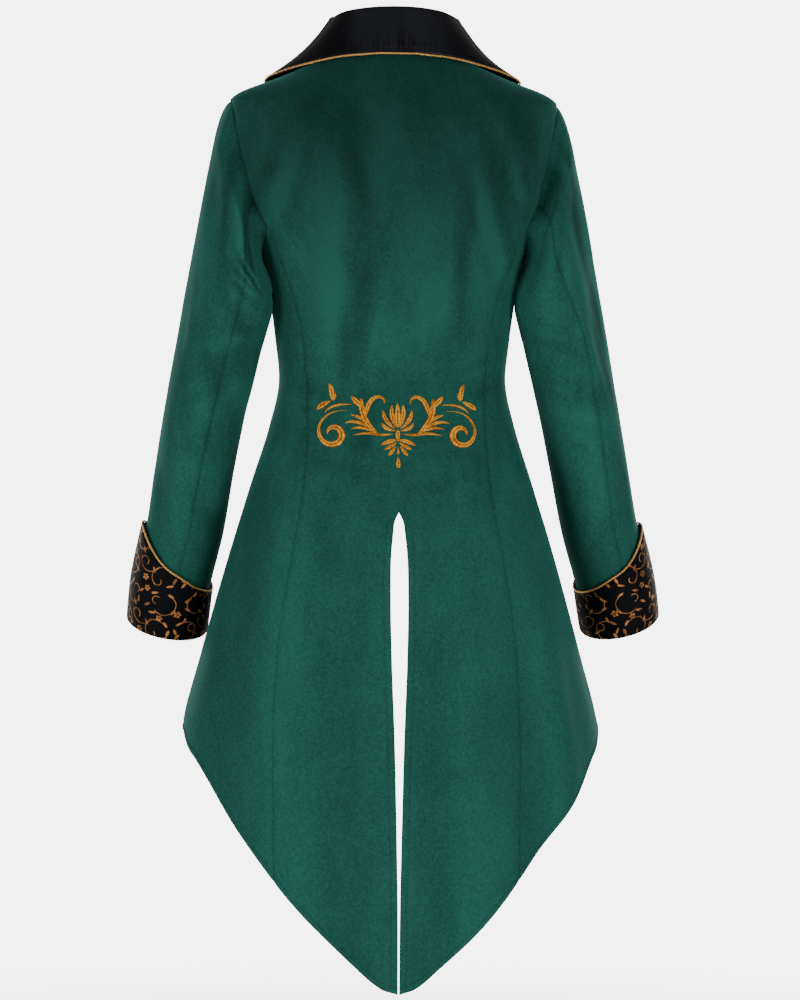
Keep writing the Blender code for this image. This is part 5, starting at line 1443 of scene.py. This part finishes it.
def brocade_figure(across, down):
    """Distance, in millimetres, to the nearest woven figure; below zero inside it."""

    def place(x, y):
        half_x, half_y = REPEAT[0] / 2, REPEAT[1] / 2
        return (across - x).wrapped(-half_x, half_x), (down - y).wrapped(-half_y, half_y)

    shapes = []
    for vine in VINES:
        x, y = place(vine.x, vine.y)
        ring = abs((x * x + y * y).root() - vine.radius) - vine.width * 0.36
        turn = math.radians(vine.cut_angle)
        shapes.append(ring.most((x * math.cos(turn) + y * math.sin(turn)) - vine.cut))
    for leaf in LEAVES:
        x, y = place(leaf.x, leaf.y)
        turn = math.radians(leaf.angle)
        far = x * math.cos(turn) + y * math.sin(turn)
        aside = abs(y * math.cos(turn) - x * math.sin(turn))
        lobes = (far + aside * 0.8).wave(LOBE) * 0.16 + 0.90
        wide, long = leaf.width * 1.15, leaf.length * 1.2
        shapes.append(aside - lobes * (wide / 2) + far * far * (2 * wide / long**2))
    for blossom in BLOSSOMS:
        x, y = place(blossom.x, blossom.y)
        far = (x * x + y * y).root()
        turn = abs(y.sum_of("ARCTAN2", x).wrapped(-math.pi / 5, math.pi / 5))
        beside = (far * far + blossom.radius**2 - far * turn.sum_of("COSINE") * (2 * blossom.radius)).root()
        shapes.append((beside - blossom.petal).least(far - 0.7))
    nearest = shapes[0]
    for shape in shapes[1:]:
        nearest = nearest.least(shape)
    return nearest


def brocade(settings):
    """Black brocade with a scrolling vine in copper gold, which lies flush in the weave."""
    paint = Paint("black_brocade")
    across, down, _ = paint.axes("UV")
    wander = paint.noise(0.004, 1.0, source="UV") - 0.5  # of the vine's outline, as in a loose weave
    figure = brocade_figure(across * 1000 + wander * 0.9, down * 1000 + wander * 0.7)
    gold = 1 - figure.ramp(-0.22, 0.22)
    weave = across.wave(WEAVE_PITCHES[0]) * down.wave(WEAVE_PITCHES[1]) * 0.5 + 0.5
    worn = paint.noise(0.0030, 2.0, 0.6)
    ground = paint.mixed(weave, (0.0004, 0.0005, 0.0010), (0.0016, 0.0019, 0.0032))
    worn = worn + paint.noise(0.011, 1.0) * 0.6
    shine, thread = (worn + weave * 0.30).ramp(0.78, 1.10), settings.brocade_gold
    thread = paint.mixed(shine, darker(thread, 0.30), thread)
    return paint.finished(
        paint.mixed(gold, ground, thread),
        weave * 0.4 + gold * 0.5,
        depth=0.00018,
        strength=0.6,
        linked_inputs={"Roughness": 0.58 - gold * 0.12 + worn * 0.1, "Metallic": gold * 0.3},
        Specular_IOR_Level=0.09,
    )


def gold_cord(settings):
    """Cord twisted from gold thread, with painted shade down in the grooves of its twist."""
    paint = Paint("twisted_gold")
    along, about, _ = paint.axes("UV")
    twist = (along + about * 0.55).wave(TWIST_PITCH) * 0.5 + 0.5
    fibre = (along - about * 1.4).wave(FIBRE_PITCH) * 0.5 + 0.5
    # painted shade in the twist's grooves, with random tone from the noise
    tone = twist * 0.65 + fibre * 0.1 + paint.noise(0.004) * 0.35
    dark = darker(settings.cord_gold, 0.42, 0.32, 0.22)
    colour, height = paint.mixed(tone.ramp(0.15, 0.85), dark, settings.cord_gold), twist + fibre * 0.2
    return paint.finished(colour, height, depth=0.0004, strength=0.8, Roughness=0.40, Metallic=1.0)


def gold_thread(settings):
    """Satin-stitch embroidery: close threads across each stroke, with painted shade down in its edges and
    painted highlights halfway out on each side.
    """
    paint = Paint("gold_thread")
    along, aside, _ = paint.axes("UV")
    slant = along + aside * 0.0006
    thread = slant.wave(THREAD_PITCH)
    # Strands are longer threads painted paler at random, as if catching light; a painted highlight runs
    # halfway out on each side.
    strand = paint.noise(1.0, 1.0, 0.5, vector=paint.vector(slant * 1100.0, aside * 1.2)) - 0.5
    ridge = 1 - abs(abs(aside) - 0.46) * 2.0
    tone = ridge + strand * 1.3 + thread * 0.07 + (paint.noise(0.005, 2.0) - 0.5) * 1.2
    colour = paint.mixed(tone.ramp(-0.05, 0.55), settings.thread_edge_shade, settings.thread_gold)
    colour = paint.mixed(tone.ramp(0.55, 1.05), colour, settings.thread_highlight)
    return paint.finished(
        colour, thread * 0.5 + strand, depth=0.0003, strength=0.8, Roughness=0.50, Specular_IOR_Level=0.18
    )


def plain_thread(name, colour):
    """Sewing thread, near the cloth's own colour."""
    paint = Paint(name)
    tone = paint.noise(0.0008, 2.0)
    return paint.finished(paint.mixed(tone, darker(colour, 0.6), colour), tone, depth=0.0001, Roughness=0.7)


def cut_of(sheets):
    """Flat width, length and area of the cloth that shows in these sheets, in metres."""
    width = sum(float(s.uv[..., 0].max() - s.uv[..., 0].min()) for s in sheets)
    length = max(float(s.uv[..., 1].max() - s.uv[..., 1].min()) for s in sheets)
    area = 0.0
    for sheet in sheets:
        a, b = np.diff(sheet.outer, axis=0)[:, :-1], np.diff(sheet.outer, axis=1)[:-1]
        area += float(np.linalg.norm(np.cross(a, b), axis=-1).sum())
    return (width, max(length, area / width)), area


def dressed(piece, slot, *nodes):
    """Ties a finished piece to the coat; it takes the place of the named solids."""
    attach(piece, "root")
    if nodes:
        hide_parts(*nodes)
    return piece


def cloth_piece(name, sheets, materials, slot):
    """A piece of cloth in place of its solid; its flat cut and area are worked out but not used."""
    piece = dressed(cloth(f"{name}_cloth", sheets, *materials), slot, name)
    flat, area = cut_of(sheets)
    return piece


def colour_setting(name, description, default):
    text = f"Linear colour {description}"
    return bpy.props.FloatVectorProperty(name=name, description=text, subtype="COLOR", default=default)


def length_setting(name, description, default):
    text = f"{description}, in metres"
    return bpy.props.FloatProperty(name=name, description=text, default=default, unit="LENGTH")


def level_setting(name, text, default, most, **kind):
    return bpy.props.FloatProperty(name=name, description=text, default=default, min=0, max=most, **kind)


class TailcoatSettings(bpy.types.PropertyGroup):
    # the velvet's deep and bright colours bound its random tone and its painted light and shade
    velvet_deep: colour_setting("Velvet, deep", "of the velvet seen straight on", (0.0040, 0.042, 0.0318))
    velvet_bright: colour_setting("Velvet, bright", "where the pile leans lightward", (0.0142, 0.113, 0.0855))
    brocade_gold: colour_setting("Brocade gold", "of the woven vine", (0.56, 0.230, 0.070))
    cord_gold: colour_setting("Cord gold", "of the piping", (1.00, 0.56, 0.20))
    thread_gold: colour_setting("Thread gold", "of the embroidery thread", (0.60, 0.200, 0.006))
    # the next two colours are painted shade in the stitches' edges and painted highlight where they shine
    thread_edge_shade: colour_setting("Thread, dark", "down in the stitches' edges", (0.130, 0.028, 0.004))
    thread_highlight: colour_setting("Thread, pale", "where the stitches shine", (1.00, 0.50, 0.045))
    # strength of the painted shade in troughs and seams and the painted light on ridges
    fold_shade: level_setting("Fold shade", "How much folds shade the pile", 0.13, 1, subtype="FACTOR")
    velvet_sheen: level_setting("Velvet sheen", "The pile's glow at a slant", 0.30, 1, subtype="FACTOR")
    stitch_pitch: length_setting("Stitch pitch", "From one stitch to the next", 0.0031)
    stitch_length: length_setting("Stitch length", "Length of one stitch", 0.0025)
    thread_thickness: length_setting("Thread thickness", "Thickness of sewing thread", 0.00045)
    light: level_setting("Light", "Power of the soft lights, before their shares", 52.0, 500, unit="POWER")
    surround: level_setting("Surround", "Brightness of the light from all round, 0 to 2", 0.34, 2)
    backdrop: level_setting("Backdrop", "Brightness of the pale surround as it is seen, 0 to 20", 6.0, 20)


def material(name):
    """The material of this name, made once."""
    settings = bpy.context.scene.tailcoat
    makers = {
        "green_velvet": velvet,
        "cloth_reverse": plain_back,
        "black_satin": satin,
        "black_brocade": brocade,
        "twisted_gold": gold_cord,
        "gold_thread": gold_thread,
        "green_thread": lambda _: plain_thread("green_thread", (0.006, 0.058, 0.046)),
        "black_thread": lambda _: plain_thread("black_thread", (0.012, 0.012, 0.014)),
    }
    return bpy.data.materials.get(name) or makers[name](settings)


def velvet_pair():
    return material("green_velvet"), material("cloth_reverse")


def sewn(name, lines, thread, slot):
    """Rows of stitches in a named thread, at the sizes that the settings give."""
    settings = bpy.context.scene.tailcoat
    sizes = {
        "Pitch": settings.stitch_pitch,
        "Stitch length": settings.stitch_length,
        "Thread thickness": settings.thread_thickness,
    }
    return dressed(stitched(name, lines, material(thread), sizes), slot)


def velvet_piece(name, sheets, lines):
    """One piece of the body in velvet, with its rows of stitches."""
    stitches = sewn(f"{name}_stitches", lines, "green_thread", "velvet")
    cloth_piece(name, sheets, velvet_pair(), "velvet")


class TAILCOAT_OT_back(bpy.types.Operator):
    """Back of the coat, cut in one down to the slit between its tails, with its topstitching"""

    bl_idname = "tailcoat.back"
    bl_label = "Back"

    def execute(self, context):
        sheets = back_sheets()
        lines = []
        for sheet in sheets:
            slit = inset_line(sheet, "left", HEM_STITCH)
            lines += [slit[slit[:, 2] < VENT_TOP - SLIT_REST], inset_line(sheet, "bottom", HEM_STITCH)]
        velvet_piece("back", sheets, lines)
        return {"FINISHED"}


class TAILCOAT_OT_side_backs(bpy.types.Operator):
    """Side backs, from the curved back seams round to the side seams"""

    bl_idname = "tailcoat.side_backs"
    bl_label = "Side backs"

    def execute(self, context):
        for side, word in SIDES:
            sheets = side_sheets(side)
            lines = [inset_line(sheets[0], "bottom", HEM_STITCH)]
            velvet_piece(f"side_back_{word}", sheets, lines)
        return {"FINISHED"}


class TAILCOAT_OT_fronts(bpy.types.Operator):
    """Fronts, cut away from the waist to the tails"""

    bl_idname = "tailcoat.fronts"
    bl_label = "Fronts"

    def execute(self, context):
        for side, word in SIDES:
            sheets = front_sheets(side)
            line = inset_line(sheets[0], "right", HEM_STITCH)
            line = line[(line[:, 2] < MEET) & (line[:, 2] > FRONT_POINT + POINT_REST)]
            velvet_piece(f"front_{word}", sheets, [line])
        return {"FINISHED"}


class TAILCOAT_OT_sleeves(bpy.types.Operator):
    """Two-piece sleeves, creased at the elbows"""

    bl_idname = "tailcoat.sleeves"
    bl_label = "Sleeves"

    def execute(self, context):
        count = len(armhole_ring()[0])
        for side, word in SIDES:
            for part, first, last in (
                ("under", BACK_SEAM_AT, FRONT_SEAM_AT),
                ("top", FRONT_SEAM_AT, BACK_SEAM_AT + count),
            ):
                sheets = [sleeve_sheet(side, first, last)]
                cloth_piece(f"sleeve_{part}_{word}", sheets, velvet_pair(), "velvet")
        return {"FINISHED"}


class TAILCOAT_OT_cuffs(bpy.types.Operator):
    """Brocade cuffs with a shaped top edge, and the cord along it"""

    bl_idname = "tailcoat.cuffs"
    bl_label = "Cuffs"

    def execute(self, context):
        for side, word in SIDES:
            sheet = cuff_sheet(side)
            pair = material("black_brocade"), material("cloth_reverse")
            cloth_piece(f"cuff_{word}", [sheet], pair, "brocade")
            outer, inner = sheet.outer[:, :-1], sheet.inner[:, :-1]
            line, away = edge_line(outer[-1], inner[-1], (outer[-4] + inner[-4]) / 2)
            piping = rounded(f"cuff_cord_{word}", line, away, PIPING_RADIUS, True, material("twisted_gold"))
            dressed(piping, "gold_cord", f"cuff_piping_{word}")
        return {"FINISHED"}


class TAILCOAT_OT_collar(bpy.types.Operator):
    """Satin shawl collar, folded over at the neck, with the cord along its edge"""

    bl_idname = "tailcoat.collar"
    bl_label = "Collar"

    def execute(self, context):
        sheet = collar_sheet()
        line = inset_line(sheet, "right", PUCKER_IN)
        stitches = sewn("collar_stitches", [line], "black_thread", "satin")
        pair = material("black_satin"), material("black_satin")
        cloth_piece("collar", [sheet], pair, "satin")
        outer, inner = sheet.outer.swapaxes(0, 1), sheet.inner.swapaxes(0, 1)
        line, away = edge_line(outer[-1], inner[-1], (outer[-5] + inner[-5]) / 2)
        piping = rounded("collar_cord", line, away, PIPING_RADIUS, False, material("twisted_gold"))
        dressed(piping, "gold_cord", "collar_piping")
        return {"FINISHED"}


class TAILCOAT_OT_embroidery(bpy.types.Operator):
    """Gold satin-stitch embroidery at the small of the back"""

    bl_idname = "tailcoat.embroidery"
    bl_label = "Embroidery"

    def execute(self, context):
        dressed(embroidery("back_embroidery", material("gold_thread")), "gold_cord")
        return {"FINISHED"}


def stage_floor():
    """A pale floor, well under the hem, that fades out towards its rim."""
    count, mesh = 96, bmesh.new()
    bmesh.ops.create_circle(mesh, cap_ends=True, radius=FLOOR_RADIUS, segments=count)
    data = bpy.data.meshes.new("floor")
    mesh.to_mesh(data)
    mesh.free()
    paint = Paint("pale_floor")
    x, y, _ = paint.axes("Object")
    far = (x * x + y * y).root()
    speck = paint.noise(0.02, 3.0)
    colour = paint.mixed(speck, (0.84,) * 3, (0.88,) * 3)
    fade = 1 - far.ramp(FLOOR_RADIUS * 0.35, FLOOR_RADIUS * 0.95)
    data.materials.append(paint.finished(colour, linked_inputs={"Alpha": fade}, Roughness=0.9))
    floor = linked("floor", data)
    floor.location = (0, 0, FLOOR_HEIGHT)


class TAILCOAT_OT_stage(bpy.types.Operator):
    """Pale floor and surround, soft lights, and the camera behind the coat"""

    bl_idname = "tailcoat.stage"
    bl_label = "Stage"

    def execute(self, context):
        settings = context.scene.tailcoat
        stage_floor()
        world = bpy.data.worlds.new("pale_surround")
        world.use_nodes = True
        tree = world.node_tree
        lit, seen = tree.nodes["Background"], tree.nodes.new("ShaderNodeBackground")
        lit.inputs["Color"].default_value = seen.inputs["Color"].default_value = (0.98, 0.99, 1.0, 1)
        lit.inputs["Strength"].default_value = settings.surround
        seen.inputs["Strength"].default_value = settings.backdrop
        either, path = tree.nodes.new("ShaderNodeMixShader"), tree.nodes.new("ShaderNodeLightPath")
        tree.links.new(path.outputs["Is Camera Ray"], either.inputs["Fac"])
        tree.links.new(lit.outputs[0], either.inputs[1])
        tree.links.new(seen.outputs[0], either.inputs[2])
        tree.links.new(either.outputs[0], tree.nodes["World Output"].inputs["Surface"])
        context.scene.world = world
        for name, place, size, share in LIGHTS:
            light = bpy.data.lights.new(name, "AREA")
            light.shape, light.size, light.color = "DISK", size, LIGHT_COLOUR
            light.energy = settings.light * share
            item = linked(name, light)
            item.location = place
            item.rotation_euler = (Vector(LIGHT_AIM) - Vector(place)).to_track_quat("-Z", "Y").to_euler()
        camera = bpy.data.cameras.new("camera")
        camera.sensor_fit, camera.sensor_height, camera.lens = "VERTICAL", 36.0, CAMERA_LENS
        turn = math.radians(CAMERA_AZIMUTH)
        back = Vector((math.sin(turn), -math.cos(turn), 0.0))
        item = linked("camera", camera)
        item.location = Vector(CAMERA_AIM) + back * CAMERA_DISTANCE
        level = back.to_track_quat("Z", "Y")
        item.rotation_euler = (Quaternion(back, CAMERA_ROLL) @ level).to_euler()
        context.scene.camera = item
        return {"FINISHED"}


OPERATORS = (
    TAILCOAT_OT_back,
    TAILCOAT_OT_side_backs,
    TAILCOAT_OT_fronts,
    TAILCOAT_OT_sleeves,
    TAILCOAT_OT_cuffs,
    TAILCOAT_OT_collar,
    TAILCOAT_OT_embroidery,
    TAILCOAT_OT_stage,
)


class TAILCOAT_PT_sidebar(bpy.types.Panel):
    bl_label = "Tailcoat"
    bl_idname = "TAILCOAT_PT_sidebar"
    bl_space_type = "VIEW_3D"
    bl_region_type = "UI"
    bl_category = "Tailcoat"

    def draw(self, context):
        for name in TailcoatSettings.__annotations__:
            self.layout.prop(context.scene.tailcoat, name)
        for operator in OPERATORS:
            self.layout.operator(operator.bl_idname)


CLASSES = (TailcoatSettings, *OPERATORS, TAILCOAT_PT_sidebar)


def register():
    for item in CLASSES:
        bpy.utils.register_class(item)
    bpy.types.Scene.tailcoat = bpy.props.PointerProperty(type=TailcoatSettings)


def unregister():
    del bpy.types.Scene.tailcoat
    for item in reversed(CLASSES):
        bpy.utils.unregister_class(item)


def main():
    """Makes the coat and its stage."""
    register()
    for operator in OPERATORS:
        group, name = operator.bl_idname.split(".")
        getattr(getattr(bpy.ops, group), name)()


if __name__ == "__main__":
    main()
